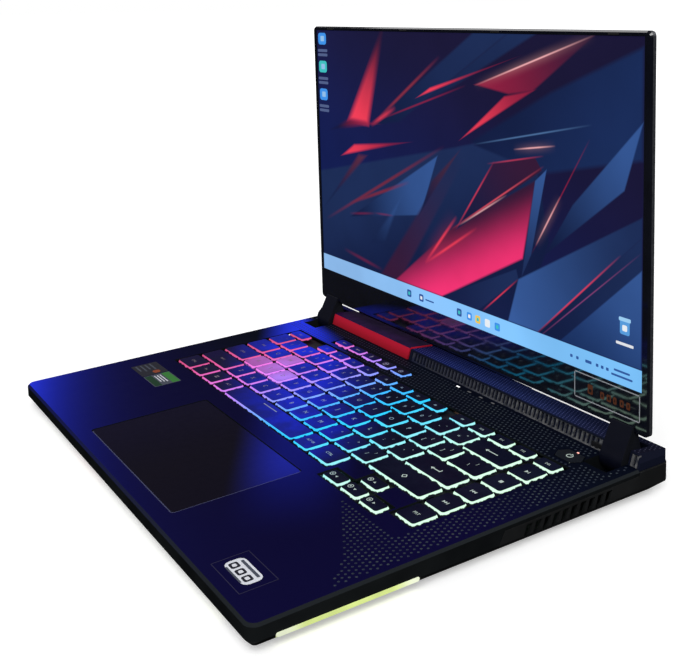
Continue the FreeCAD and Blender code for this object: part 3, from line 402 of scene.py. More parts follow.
# Painted blue sheen across the pad, the same band as on the deck.
pad_sheen = pad.times(sheen(pad), 0.9)
pad_left = pad.span(pad.across(), 20.0, -70.0)
pad_tone = pad.mix(pad_left, (0.0038, 0.0026, 0.0095), (0.0050, 0.0034, 0.018))
pad_tone = pad.mix(pad_sheen, pad_tone, (0.022, 0.045, 0.95))
pad_worn = pad.mix(0.2, pad_tone, (0.008, 0.006, 0.014))
pad_tone = pad.mix(pad.span(pad.noise(9.0, 3.0), 0.35, 0.65), pad_tone, pad_worn)
pad.set(Base_Color=pad.mix(pad_up, (0.14, 0.15, 0.30), pad_tone))
pad.set(Roughness=pad.patchy(220.0, 4.0, 0.34, 0.44), Specular_IOR_Level=0.04)
pad.grain(3400.0, 2.0, 0.00001, 0.3)
dress(pad, "touch_pad")

# ------------ materials of the lid and hinges
lid = Paint("lid_metal")
lid_streak = lid.noise(60.0, 6.0, 0.6, (1.0, 14.0, 14.0))
lid_slant = lid.along(lid.millimetres(), (0.78, 0.0, 0.62), 60.0)
lid_two = lid.mix(lid.span(lid_slant, -0.8, 0.8), (0.052, 0.056, 0.066), (0.030, 0.033, 0.041))
lid.set(Base_Color=lid.mix(lid.span(lid_streak, 0.3, 0.7), lid_two, (0.070, 0.074, 0.086)))
lid.set(Metallic=0.35, Roughness=lid.span(lid_streak, 0.3, 0.7, 0.36, 0.48))
lid.relief(lid_streak, 0.00004, 0.3, 0.0004)
dress(lid, "lid_back_cover")

bezel = Paint("bezel_gloss")
bezel_in = bezel.patchy(35.0, 3.0)
bezel.set(Base_Color=bezel.mix(bezel_in, (0.0035, 0.0040, 0.008), (0.006, 0.007, 0.013)))
bezel.set(Roughness=bezel.patchy(90.0, 4.0, 0.04, 0.07), Specular_IOR_Level=1.0)
dress(bezel, "screen_bezel")

arm = Paint("hinge_plastic")
arm_side = arm.span(arm.math("ABSOLUTE", arm.facing(0)), 0.6, 0.9)
arm_tone = arm.mix(arm_side, (0.0022, 0.0028, 0.009), (0.010, 0.011, 0.014))
arm_worn = arm.patchy(50.0, 4.0, 0.0, 0.4)
arm.set(Base_Color=arm.mix(arm_worn, arm_tone, (0.005, 0.006, 0.016)))
arm.set(Roughness=arm.patchy(150.0, 4.0, 0.40, 0.50), Specular_IOR_Level=0.12)
arm.grain(2600.0, 2.0, 0.00004, 0.4, 0.0005)
dress(arm, "hinge_arm_left", "hinge_arm_right")

dress(plain_surface("steel", (0.42, 0.42, 0.44), 0.32, 1500.0, 0.00002, 0.2, Metallic=1.0),
      "bottom_screws", "hinge_shafts")
dress(plain_surface("dark_sheet", (0.035, 0.035, 0.04), 0.50, 1500.0, 0.00002, 0.3, Metallic=0.8),
      "touch_pad_frame", "hinge_leaves", "hinge_brackets")
dress(plain_surface("socket_metal", (0.46, 0.46, 0.48), 0.34, 1200.0, 0.00002, 0.2, Metallic=1.0),
      "usb_sockets", "network_socket", "display_socket")
dress(plain_surface("black_plastic", (0.016, 0.016, 0.018), 0.50, 1800.0, 0.00005, 0.3,
                    Specular_IOR_Level=0.35),
      "audio_socket", "power_inlet", "fan_housings", "fan_rotor_left", "fan_rotor_right", "speakers",
      "display_cable")
dress(plain_surface("copper", (0.68, 0.33, 0.18), 0.34, 500.0, 0.00002, 0.2, Metallic=1.0), "heat_pipes")
dress(plain_surface("fin_aluminium", (0.55, 0.55, 0.57), 0.40, 800.0, 0.00002, 0.15, Metallic=1.0),
      "heat_sinks")
dress(plain_surface("circuit_board", (0.012, 0.050, 0.026), 0.38, 260.0, 0.0001, 0.5), "mainboard",
      "memory_modules", "solid_state_drive")
dress(plain_surface("battery_film", (0.018, 0.018, 0.019), 0.45, 70.0, 0.0002, 0.3), "battery")
dress(plain_surface("rubber", (0.014, 0.014, 0.015), 0.78, 1300.0, 0.0001, 0.3, Specular_IOR_Level=0.3),
      "rubber_feet", "lid_bumpers")


# ------------ the lit screen
class Picture:
    """Abstract picture of soft-edged facets and lines, in millimetres from the lit area's lower middle."""

    def __init__(self, paint):
        self.paint = paint
        self.where = paint.millimetres((0.0, 0.0, -LIT_BOTTOM_Z))
        self.colour = None

    def ground(self, low, high):
        height = self.paint.along(self.where, (0.35, 0.0, 0.94))
        self.colour = self.paint.mix(self.paint.span(height, 0.0, 190.0), low, high)

    def facet(self, points, near, far, towards, soft=0.8, strength=1.0):
        """Convex patch that turns from one colour to another towards a direction in degrees."""
        paint = self.paint
        middle = Vector((sum(p[0] for p in points) / len(points), sum(p[1] for p in points) / len(points)))
        inside = None
        for a, b in zip(points, points[1:] + points[:1]):
            edge = Vector(b) - Vector(a)
            normal = Vector((-edge.y, edge.x)).normalized()
            if normal.dot(middle - Vector(a)) < 0:
                normal = -normal
            distance = paint.along(self.where, (normal.x, 0.0, normal.y), normal.dot(Vector(a)))
            inside = distance if inside is None else paint.math("MINIMUM", inside, distance)
        mask = paint.math("MULTIPLY_ADD", inside, 1.0 / soft, 0.5, clamp=True)
        if strength != 1.0:
            mask = paint.times(mask, strength)
        heading = Vector((math.cos(math.radians(towards)), math.sin(math.radians(towards))))
        reach = [heading.dot(Vector(p)) for p in points]
        share = paint.span(paint.along(self.where, (heading.x, 0.0, heading.y)), min(reach), max(reach))
        self.colour = paint.mix(mask, self.colour, paint.mix(share, near, far))

    def line(self, start, end, width, colour, strength=1.0, glow=0.0):
        """Line of light that thins out at both ends, with a glow beside it."""
        paint = self.paint
        start, end = Vector(start), Vector(end)
        length = (end - start).length
        heading = (end - start) / length
        normal = Vector((-heading.y, heading.x))
        off = paint.math("ABSOLUTE", paint.along(self.where, (normal.x, 0.0, normal.y), normal.dot(start)))
        on = paint.along(self.where, (heading.x, 0.0, heading.y), heading.dot(start))
        on = paint.math("MINIMUM", on, paint.math("SUBTRACT", length, on))
        ends = paint.times(on, 2.6 / length, clamp=True)
        core = paint.math("MULTIPLY_ADD", off, -1.0 / width, 1.0, clamp=True)
        if glow:
            halo = paint.math("MULTIPLY_ADD", off, -1.0 / (width * 7), 1.0, clamp=True)
            halo = paint.times(paint.times(halo, halo), glow)
            core = paint.math("MAXIMUM", core, halo)
        mask = paint.times(paint.times(core, ends), strength)
        self.colour = paint.mix(mask, self.colour, colour)


NIGHT = (0.006, 0.006, 0.030)
INK = (0.004, 0.010, 0.050)
SLATE = (0.010, 0.024, 0.090)
STEEL_BLUE = (0.034, 0.095, 0.300)
WINE = (0.035, 0.008, 0.035)
CRIMSON = (0.28, 0.012, 0.050)
RED = (0.85, 0.045, 0.090)
PINK = (0.84, 0.030, 0.160)
PALE = (1.0, 0.48, 0.50)

screen = Paint("screen_lit")
picture = Picture(screen)
picture.ground((0.0045, 0.011, 0.085), (0.0080, 0.0060, 0.034))
# Corners, colours at both ends, direction between them in degrees, softness of the edge and strength.
FACETS = [
    ([(28, 194), (62, 194), (-58, 130), (-96, 124)], SLATE, INK, 215, 2),
    ([(62, 194), (100, 194), (10, 160), (-58, 130)], INK, SLATE, 60, 2),
    ([(171, 194), (171, 128), (58, 104), (18, 128), (100, 160)], INK, (0.008, 0.024, 0.100), -30, 3),
    ([(26, 122), (132, 144), (98, 70), (88, 112)], SLATE, INK, -70, 2),
    ([(171, 148), (158, 110), (94, 62), (118, 96)], STEEL_BLUE, INK, 225, 1.0),
    ([(171, 97), (70, 42), (60, 13), (88, 13), (171, 86)], STEEL_BLUE, SLATE, 10, 1.2),
    ([(171, 86), (88, 13), (108, 13), (171, 68)], INK, SLATE, 40, 0.9),
    ([(171, 68), (108, 13), (171, 13)], (0.009, 0.030, 0.120), STEEL_BLUE, 60, 0.9),
    ([(-13, 110), (-34, 66), (-128, 50)], STEEL_BLUE, INK, 205, 1.2),
    ([(10, 118), (26, 122), (-62, 13), (-86, 13)], SLATE, WINE, 235, 3),
    ([(-20, 92), (8, 113), (-34, 68)], (0.06, 0.02, 0.05), INK, 230, 2),
    ([(-62, 70), (-80, 40), (-100, 34)], STEEL_BLUE, INK, 230, 3, 0.4),
    ([(74, 56), (86, 106), (4, 64), (-66, 13), (-10, 13)], PINK, WINE, 116, 1.6),
    ([(46, 112), (86, 120), (92, 113), (6, 62)], INK, WINE, 40, 0.8),
    ([(96, 114), (86, 106), (73, 44), (82, 60)], STEEL_BLUE, SLATE, 250, 0.8),
    ([(70, 42), (68, 48), (-10, 13), (30, 13)], INK, SLATE, 20, 1.0),
    ([(-78, 194), (-126, 126), (-100, 125)], RED, WINE, 62, 6),
    ([(-100, 125), (-126, 126), (-146, 118)], CRIMSON, NIGHT, 200, 4),
    ([(-60, 114), (-136, 98), (-120, 107)], RED, CRIMSON, 20, 2.0),
    ([(-114, 100), (-104, 100), (-156, 62)], (0.09, 0.02, 0.05), INK, 220, 3),
    ([(42, 172), (-32, 150), (-20, 156)], RED, CRIMSON, 20, 1.4),
    ([(30, 161), (134, 193), (84, 160), (62, 157)], CRIMSON, WINE, 20, 1.6),
    ([(18, 127), (58, 155), (84, 160)], RED, CRIMSON, 30, 1.4),
]
# Ends, width, colour, strength and glow.
LINES = [
    ((-95, 124), (-8, 178), 1.8, (0.30, 0.03, 0.05), 0.8),
    ((-88, 128), (20, 160), 1.0, CRIMSON, 0.8),
    ((-96, 124), (-62, 140), 2.4, RED, 0.7),
    ((-166, 42), (-4, 118), 1.8, (0.20, 0.02, 0.04), 0.9),
    ((-130, 60), (-46, 88), 1.8, (0.22, 0.02, 0.04), 0.9),
    ((-130, 52), (-92, 58), 1.4, CRIMSON, 0.4),
    ((-140, 22), (-84, 16), 2.0, CRIMSON, 0.4),
    ((-94, 58), (-68, 60), 1.2, CRIMSON, 0.4),
    ((28, 160), (136, 194), 0.9, PALE, 1.0, 0.15),
    ((26, 122), (134, 144), 0.8, (0.09, 0.20, 0.42), 0.9),
    ((66, 123), (104, 129), 0.8, PALE, 1.0, 0.1),
    ((6, 62), (48, 114), 1.0, (0.62, 0.04, 0.09), 0.9),
    ((40, 111), (94, 122), 0.8, (0.55, 0.04, 0.09), 0.8),
    ((2, 62), (94, 116), 0.9, (0.75, 0.08, 0.12), 0.9),
    ((10, 66), (60, 94), 0.9, PALE, 0.7),
    ((-30, 32), (8, 72), 1.8, RED, 0.9, 0.1),
    ((-30, 32), (30, 68), 1.6, RED, 0.9, 0.1),
    ((132, 136), (82, 60), 0.7, CRIMSON, 0.9),
    ((108, 100), (86, 66), 0.9, PALE, 0.9, 0.1),
    ((70, 42), (34, 13), 0.8, RED, 0.8),
    ((86, 11), (156, 74), 0.8, RED, 0.9),
    ((84, 6), (171, 78), 0.6, (0.30, 0.06, 0.20), 0.8),
]
for facet in FACETS:
    picture.facet(*facet)
for line in LINES:
    picture.line(*line)

BAR_HEIGHT = 12.5
HALF_LIT = LIT_WIDTH / 2
BAR_END = HALF_LIT + 9
picture.facet([(-BAR_END, -9), (BAR_END, -9), (BAR_END, BAR_HEIGHT), (-BAR_END, BAR_HEIGHT)],
              (0.27, 0.50, 0.85), (0.20, 0.54, 0.96), 5, 0.3)
off_side = screen.math("ABSOLUTE", screen.along(picture.where, (1, 0, 0)))
screen_height = screen.along(picture.where, (0, 0, 1))
lit = screen.math("LESS_THAN", off_side, HALF_LIT)
for limit in (screen.math("GREATER_THAN", screen_height, 0.0),
              screen.math("LESS_THAN", screen_height, LIT_HEIGHT),
              screen.math("LESS_THAN", screen.facing(1), -0.9)):
    lit = screen.times(lit, limit)
shimmer = screen.span(screen.noise(14.0, 3.0), 0.2, 0.8, 0.88, 1.12)
screen.set(Base_Color=(0.004, 0.004, 0.006, 1.0), Roughness=0.38, Specular_IOR_Level=0.08)
screen.set(Emission_Color=picture.colour, Emission_Strength=screen.times(lit, shimmer))
dress(screen, "display_panel")


# ------------ mesh helpers
def around(x, y, radius, angle):
    return x + radius * math.cos(angle), y + radius * math.sin(angle)


def rounded(x0, x1, y0, y1, radius, steps=4):
    """Outline of a box with rounded corners."""
    points = []
    for cx, cy, start in ((x1 - radius, y0 + radius, -90), (x1 - radius, y1 - radius, 0),
                          (x0 + radius, y1 - radius, 90), (x0 + radius, y0 + radius, 180)):
        for i in range(steps + 1):
            points.append(around(cx, cy, radius, math.radians(start + 90.0 * i / steps)))
    return points


def disc(x, y, radius, sides=12):
    """Outline of a circle."""
    return [around(x, y, radius, 2 * math.pi * i / sides) for i in range(sides)]


def ring(mesh, outline, height, place):
    return [mesh.verts.new(place @ Vector((x, y, height))) for x, y in outline]


def walls(mesh, lower, upper):
    """Side faces between two rings."""
    faces = []
    for i in range(len(lower)):
        j = (i + 1) % len(lower)
        faces.append(mesh.faces.new((lower[i], lower[j], upper[j], upper[i])))
    return faces


def slab(mesh, outline, low, high, place, tint=None, inset=0.0):
    """Plate with an outline, from one height to another, with a bevel on top where there is an inset."""
    middle = Vector((sum(p[0] for p in outline) / len(outline), sum(p[1] for p in outline) / len(outline)))
    rings = [ring(mesh, outline, low, place)]
    if inset:
        rings.append(ring(mesh, outline, high - inset, place))
    top = []
    for x, y in outline:
        pull = Vector((x, y)) - middle
        pull = pull * max(0.0, 1 - inset / max(pull.length, 1e-6))
        top.append(middle + pull)
    rings.append(ring(mesh, top, high, place))
    faces = [mesh.faces.new(rings[-1]), mesh.faces.new(list(reversed(rings[0])))]
    for lower, upper in zip(rings, rings[1:]):
        faces += walls(mesh, lower, upper)
    if tint is not None:
        layer = mesh.loops.layers.float_color.get("tint") or mesh.loops.layers.float_color.new("tint")
        for face in faces:
            for loop in face.loops:
                loop[layer] = (*tint, 1.0)


def stroke(x0, y0, x1, y1, width):
    """Outline of a straight bar between two points."""
    heading = Vector((x1 - x0, y1 - y0)).normalized() * (width / 2)
    side = Vector((-heading.y, heading.x))
    return [(x0 + side.x, y0 + side.y), (x0 - side.x, y0 - side.y),
            (x1 - side.x, y1 - side.y), (x1 + side.x, y1 + side.y)]


def arc_band(x, y, radius, width, start, end, steps=10):
    """Band along an arc, as four-sided pieces."""
    inner, outer = radius - width / 2, radius + width / 2
    turns = [math.radians(start + (end - start) * i / steps) for i in range(steps + 1)]
    return [[around(x, y, inner, a), around(x, y, outer, a), around(x, y, outer, b), around(x, y, inner, b)]
            for a, b in zip(turns, turns[1:])]


def finish_piece(name, mesh, paint, body):
    """Turns a mesh into a named piece that rides on a body."""
    bmesh.ops.recalc_face_normals(mesh, faces=mesh.faces)
    data = bpy.data.meshes.new(name)
    mesh.to_mesh(data)
    mesh.free()
    data.materials.append(paint.material)
    made = bpy.data.objects.new(name, data)
    bpy.context.scene.collection.objects.link(made)
    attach(made, body)


def piece(name, outlines, low, high, place, paint, body="base", inset=0.0):
    """One piece of plates between two heights."""
    mesh = bmesh.new()
    for outline in outlines:
        slab(mesh, outline, low, high, place, inset=inset)
    finish_piece(name, mesh, paint, body)


def solids_of(name):
    """Boxes of a node's separate solids in millimetres, left to right and then front to back."""
    data = nodes[name].data
    spots = [tuple(round(c, 6) for c in v.co) for v in data.vertices]
    owner = {spot: spot for spot in spots}

    def root(spot):
        while owner[spot] != spot:
            owner[spot] = owner[owner[spot]]
            spot = owner[spot]
        return spot

    for face in data.polygons:
        first = root(spots[face.vertices[0]])
        for index in face.vertices[1:]:
            owner[root(spots[index])] = first
    groups = {}
    for spot in owner:
        groups.setdefault(root(spot), []).append(spot)
    boxes = [(min(p[0] for p in g) * 1000, max(p[0] for p in g) * 1000,
              min(p[1] for p in g) * 1000, max(p[1] for p in g) * 1000) for g in groups.values()]
    return sorted(boxes, key=lambda b: (round(b[0]), b[2]))


# ------------ key legends
SHORT_KEY = 14
LOW, HIGH = KEY_TOP - 0.02, KEY_TOP + 0.03
text_curve = bpy.data.curves.new("lettering", "FONT")
text_object = bpy.data.objects.new("lettering", text_curve)
bpy.context.scene.collection.objects.link(text_object)


def write(mesh, text, x, y, size):
    """Adds lettering centred on a point, as thin raised plates on the key tops."""
    text_curve.body = text
    text_curve.size = size
    text_curve.align_x = "CENTER"
    text_curve.align_y = "CENTER"
    text_curve.extrude = (HIGH - LOW) / 2
    text_curve.resolution_u = 3
    bpy.context.view_layer.update()
    graph = bpy.context.evaluated_depsgraph_get()
    data = bpy.data.meshes.new_from_object(text_object.evaluated_get(graph))
    data.transform(ON_DECK @ Matrix.Translation((x, y, (LOW + HIGH) / 2)))
    mesh.from_mesh(data)
    bpy.data.meshes.remove(data)


def arrow(x, y, size, turn):
    """Pointed arrow head, turned by degrees from pointing right."""
    c, s = math.cos(math.radians(turn)), math.sin(math.radians(turn))
    return [(x + px * c * size - py * s * size, y + px * s * size + py * c * size)
            for px, py in ((0.6, 0.0), (-0.4, 0.6), (-0.4, -0.6))]


def icon(name, x, y):
    """Outlines of a key symbol centred on a point."""
    if name == "backspace":
        return [stroke(x - 3.2, y, x + 5.2, y, 0.7), arrow(x - 4.2, y, 2.2, 180)]
    if name == "enter":
        return [stroke(x - 2.4, y - 0.6, x + 3.6, y - 0.6, 0.7),
                stroke(x + 3.3, y - 0.9, x + 3.3, y + 1.5, 0.7), arrow(x - 3.4, y - 0.6, 2.2, 180)]
    if name == "diamond":
        return [stroke(x - 1.7, y, x, y + 1.7, 0.55), stroke(x, y + 1.7, x + 1.7, y, 0.55),
                stroke(x + 1.7, y, x, y - 1.7, 0.55), stroke(x, y - 1.7, x - 1.7, y, 0.55)]
    if name == "play":
        return [arrow(x - 0.4, y, 2.2, 0), stroke(x + 1.5, y - 1.1, x + 1.5, y + 1.1, 0.5)]
    if name == "stop":
        return [rounded(x - 1.2, x + 1.2, y - 1.2, y + 1.2, 0.2, 1)]
    if name == "back":
        return [stroke(x - 1.9, y - 1.1, x - 1.9, y + 1.1, 0.5), arrow(x - 0.5, y, 1.8, 180),
                arrow(x + 1.3, y, 1.8, 180)]
    if name == "next":
        return [stroke(x + 1.9, y - 1.1, x + 1.9, y + 1.1, 0.5), arrow(x - 1.3, y, 1.8, 0),
                arrow(x + 0.5, y, 1.8, 0)]
    if name == "menu":
        return [rounded(x + i, x + i + 1.3, y + j, y + j + 1.3, 0.3, 1)
                for i in (-1.5, 0.2) for j in (-1.5, 0.2)]
    if name == "fan":
        blades = [stroke(x, y, *around(x, y, 1.9, turn), 0.7) for turn in (0.3, 2.4, 4.5)]
        return blades + arc_band(x, y, 2.2, 0.4, 0, 360, 12)
    if name == "quieter":
        return [rounded(x - 2.2, x - 1.2, y - 0.6, y + 0.6, 0.1, 1), arrow(x - 0.7, y, 1.7, 180),
                stroke(x + 0.9, y, x + 2.5, y, 0.5)]
    if name == "louder":
        return icon("quieter", x, y) + [stroke(x + 1.7, y - 0.8, x + 1.7, y + 0.8, 0.5)]
    if name == "microphone":
        return [rounded(x - 0.6, x + 0.6, y - 0.4, y + 1.8, 0.5, 3), stroke(x, y - 2.0, x, y - 1.0, 0.4),
                *arc_band(x, y, 1.2, 0.35, 180, 360, 6)]
    return arc_band(x, y, 1.6, 0.45, 0, 360, 10) + [disc(x, y, 0.6)]


# What stands on each node's keys, left to right; a name after # is a symbol, and no text is a plain bar.
LEGENDS = {
    "escape_key": ["ESC"],
    "function_keys": ["F%d" % n for n in range(1, 13)],
    "number_row_keys": ["`~", "1!", "2@", "3#", "4$", "5%", "6^", "7&", "8*", "9(", "0)", "-_", "=+"],
    "backspace_key": ["#backspace"],
    "letter_w_key": ["W"],
    "upper_row_keys": ["TAB", "Q", "E", "R", "T", "Y", "U", "I", "O", "P", "[{", "]}", "\\|"],
    "letter_asd_keys": ["A", "S", "D"],
    "home_row_keys": ["CAPS", "F", "G", "H", "J", "K", "L", ";:", "'\""],
    "enter_key": ["#enter"],
    "left_shift_key": ["SHIFT"],
    "lower_row_keys": ["Z", "X", "C", "V", "B", "N", "M", ",<", ".>", "/?"],
    "right_shift_key": ["#diamond"],
    "modifier_keys": ["CTRL", "FN", "#menu", "ALT", "ALT GR", "CTRL"],
    "space_bar": [""],
    "left_arrow_key": ["<"],
    "down_arrow_key": ["v"],
    "right_arrow_key": [">"],
    "up_arrow_key": ["^"],
    "side_column_keys": ["PRT", "#next", "#back", "#stop", "#play", "DEL"],
    "hot_keys": ["#quieter", "#louder", "#microphone", "#fan", "#ring"],
}
ARROW_TURNS = {"<": 180, "v": -90, ">": 0, "^": 90}

legend = Paint("legend_light")
legend_tone = legend.mix(0.40, backlight(legend), (1.0, 1.0, 1.0))
legend.set(Base_Color=(0.10, 0.10, 0.12, 1.0), Roughness=0.5, Emission_Color=legend_tone)
legend_x = legend.across()
legend_level = legend.span(legend_x, -130.0, 90.0, 0.13, 0.50)
legend_wear = legend.span(legend.noise(500.0), 0.2, 0.8, 0.8, 1.1)
legend.set(Emission_Strength=legend.times(legend_level, legend_wear))

for key_node, marks in LEGENDS.items():
    shape = bmesh.new()
    for (x0, x1, y0, y1), mark in zip(solids_of(key_node), marks):
        x, y = (x0 + x1) / 2, (y0 + y1) / 2
        short = y1 - y0 < SHORT_KEY
        outlines = []
        if mark.startswith("#"):
            outlines = icon(mark[1:], x, y)
        elif mark in ARROW_TURNS and short:
            outlines = [arrow(x, y, 1.6, ARROW_TURNS[mark]), *icon("ring", x - 4.6, y + 0.4)]
        elif len(mark) == 2 and not mark[1].isalnum():
            write(shape, mark[0], x - 1.2, y - 1.2, 3.7)
            write(shape, mark[1], x + 2.4, y + 2.8, 2.8)
        elif len(mark) > 1:
            write(shape, mark, x, y, 2.4 if short or len(mark) > 4 else 2.8)
        elif mark:
            write(shape, mark, x, y, 4.4)
        else:
            outlines = [rounded(-36.0, -18.0, -14.9, -14.2, 0.3, 2)]
        for outline in outlines:
            slab(shape, outline, LOW, HIGH, ON_DECK)
    finish_piece("legends_" + key_node, shape, legend, key_node)
bpy.data.objects.remove(text_object)

# ------------ power button mark, deck tick and lamp
POWER_X, POWER_Y = 141.2, 87.2
POWER_TOP = 0.45
power_outlines = arc_band(POWER_X, POWER_Y, 1.9, 0.5, 120, 420, 14)
power_outlines.append(stroke(POWER_X, POWER_Y + 0.6, POWER_X, POWER_Y + 2.6, 0.5))
piece("power_mark", power_outlines, 0.0, POWER_TOP, ON_DECK, legend, "power_button")
piece("deck_tick", [stroke(146.4, 81.6, 148.8, 85.4, 0.9)], -0.05, 0.06, ON_DECK, legend)

glow_dot = Paint("button_light")
glow_dot.set(Base_Color=(0.7, 0.5, 0.45, 1.0), Roughness=0.4)
glow_dot.set(Emission_Color=glow_dot.mix(glow_dot.noise(600.0), (1.0, 0.20, 0.15), (1.0, 0.40, 0.30)))
glow_dot.set(Emission_Strength=1.3)
piece("button_light", [disc(141.0, 93.7, 0.8, 10)], -0.05, 0.08, ON_DECK, glow_dot)

# ------------ raised dots of the deck and the rear deck
dots = Paint("deck_dots")
dot_x = dots.across()
dot_tone = dots.mix(dots.span(dot_x, -120.0, 60.0), (0.016, 0.016, 0.060), (0.040, 0.052, 0.062))
dots.set(Base_Color=dots.mix(dots.patchy(70.0, 3.0), dot_tone, (0.020, 0.026, 0.045)))
dots.set(Roughness=0.42, Specular_IOR_Level=0.12)
dots.grain(2500.0, 3.0, 0.00002, 0.3)

DOT_PITCH = 3.3
REAR_DOT_PITCH = 2.6
ROW_STEP = 0.866
DOTS_HALF_WIDTH = 172.5
DOTS_REAR = 103.4
STRIP_FRONT = 78.6
KEYS_RIGHT = 154.2
FIELD_FRONT = -86.0
FIELD_SLANT = [(98.0, -38.0), (125.0, -52.0), (155.0, -70.0), (171.0, FIELD_FRONT)]
# Places without dots, as x and y limits: hot keys, power button, status lights and the two hinge pockets.
BARE_PLACES = [(-113.5, -15.5, 82.8, 91.6), (129.5, 152.5, 80.5, 94.5), (16.0, 59.0, 99.5, 103.6),
               (148.0, 169.4, 86.5, 103.6), (-169.4, -148.0, 86.5, 103.6)]


def dotted(x, y):
    """True in the strip behind the keys and in the field beside and before them that ends on a slant."""
    if abs(x) > DOTS_HALF_WIDTH or y > DOTS_REAR:
        return False
    if any(x0 < x < x1 and y0 < y < y1 for x0, x1, y0, y1 in BARE_PLACES):
        return False
    if y > STRIP_FRONT:
        return True
    before_arrows = 70.0 < x < 131.0 and y < -40.0
    before_last_keys = x > 131.0 and y < -41.0
    if x < KEYS_RIGHT and not (before_arrows or before_last_keys):
        return False
    for (xa, ya), (xb, yb) in zip(FIELD_SLANT, FIELD_SLANT[1:]):
        if xa <= x <= xb:
            return y > ya + (yb - ya) * (x - xa) / (xb - xa)
    return x > KEYS_RIGHT and y > FIELD_FRONT


def dot(mesh, x, y, radius, height, place, sides=6):
    """Low dome on a surface."""
    foot = ring(mesh, disc(x, y, radius, sides), -0.02, place)
    top = ring(mesh, disc(x, y, radius * 0.7, sides), height * 0.8, place)
    walls(mesh, foot, top)
    mesh.faces.new(top)
    mesh.faces.new(list(reversed(foot)))


def on_surface(name, x, y, place, reach=0.8):
    """True where a CAD piece's surface lies under a whole dot."""
    solid = nodes[name]
    back = solid.matrix_world.inverted()
    down = (back.to_3x3() @ place.to_3x3() @ Vector((0, 0, -1))).normalized()
    for dx, dy in ((reach, 0), (-reach, 0), (0, reach), (0, -reach)):
        hit, _, _, _ = solid.ray_cast(back @ place @ Vector((x + dx, y + dy, 0.5)), down, distance=0.6 * MM)
        if not hit:
            return False
    return True


shape = bmesh.new()
rows = int(200 / (DOT_PITCH * ROW_STEP))
for row in range(rows):
    y = -90.0 + row * DOT_PITCH * ROW_STEP
    for column in range(-54, 55):
        x = (column + 0.5 * (row % 2)) * DOT_PITCH
        if dotted(x, y) and on_surface("palm_rest", x, y, ON_DECK):
            dot(shape, x, y, 0.78, 0.12, ON_DECK)
finish_piece("deck_dots", shape, dots, "base")

RISER_FRONT, RISER_BACK = (107.8, 25.3), (129.5, 23.4)
riser_slope = math.atan2(RISER_BACK[1] - RISER_FRONT[1], RISER_BACK[0] - RISER_FRONT[0])
ON_RISER = placed((0, *RISER_FRONT), riser_slope)
rear_dots = Paint("rear_deck_dots")
rear_dot_x = rear_dots.across()
rear_dots.set(Base_Color=rear_dots.ramp(rear_dots.math("MULTIPLY_ADD", rear_dot_x, 1 / BASE_WIDTH, 0.5), [
    (0.0, (0.03, 0.03, 0.20)), (0.25, (0.05, 0.03, 0.16)), (0.5, (0.03, 0.05, 0.26)),
    (0.75, (0.04, 0.055, 0.20)), (1.0, (0.04, 0.04, 0.07))]))
rear_dots.set(Roughness=0.42, Specular_IOR_Level=0.1)
rear_dots.grain(2500.0, 3.0, 0.00002, 0.3)
shape = bmesh.new()
cap_low_end, cap_high_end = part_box("accent_cap")
for row in range(9):
    y = 1.6 + row * REAR_DOT_PITCH * ROW_STEP
    for column in range(-68, 69):
        x = (column + 0.5 * (row % 2)) * REAR_DOT_PITCH
        under_cap = cap_low_end[0] - MM < x * MM < cap_high_end[0] + MM
        if not under_cap and on_surface("rear_deck", x, y, ON_RISER):
            dot(shape, x, y, 0.5, 0.12, ON_RISER)
finish_piece("rear_deck_dots", shape, rear_dots, "base")

# ------------ low lip along the raised deck's rear edge
ON_LIP = ON_RISER @ Matrix.Translation((0, 20.2, 0)) @ Matrix.Rotation(QUARTER_TURN, 4, "X")
lip = [(-147.0, -0.2), (62.0, -0.2), (62.0, 0.05), (20.0, 0.7), (-40.0, 1.0), (-147.0, 1.1)]
piece("rear_lip", [lip], -1.2, 0.0, ON_LIP, rear)

# ------------ lenses of the light bar along the sides
RIGHT_END = (cad_box[1][0] * 1000, 0, 0)
ON_RIGHT_SIDE = placed(RIGHT_END, QUARTER_TURN, "Z") @ Matrix.Rotation(QUARTER_TURN, 4, "X")
for side_name, mirror in (("right", 1.0), ("left", -1.0)):
    to_side = Matrix.Diagonal((mirror, 1.0, 1.0, 1.0)) @ ON_RIGHT_SIDE
    piece("light_lens_" + side_name, [rounded(-117.0, -42.0, 5.5, 7.5, 0.95, 6)], -1.2, 0.5, to_side, lens,
          inset=0.3)


# ------------ stickers
def tinted(name, roughness, glow=0.0):
    """Printed sheet whose colours come from the piece, broken up by a fine print grain."""
    paint = Paint(name)
    ink = paint.node("ShaderNodeVertexColor", layer_name="tint").outputs["Color"]
    grain = paint.times(paint.noise(800.0, 3.0), 0.25)
    printed = paint.mix(grain, ink, (0.5, 0.5, 0.5), "MULTIPLY")
    if glow:
        paint.set(Base_Color=(0.004, 0.004, 0.006, 1.0), Emission_Color=printed, Emission_Strength=glow)
    else:
        paint.set(Base_Color=printed)
    paint.set(Roughness=roughness, Specular_IOR_Level=0.2)
    return paint


sticker = tinted("sticker_print", 0.38)


def patches(name, rows_of_patches, body, place, paint, low, high):
    """One piece of flat coloured patches: x and y limits, corner radius, colour and lift of each."""
    mesh = bmesh.new()
    for x0, x1, y0, y1, radius, tint, lift in rows_of_patches:
        slab(mesh, rounded(x0, x1, y0, y1, radius, 3), low + lift, high + lift, place, tint)
    finish_piece(name, mesh, paint, body)


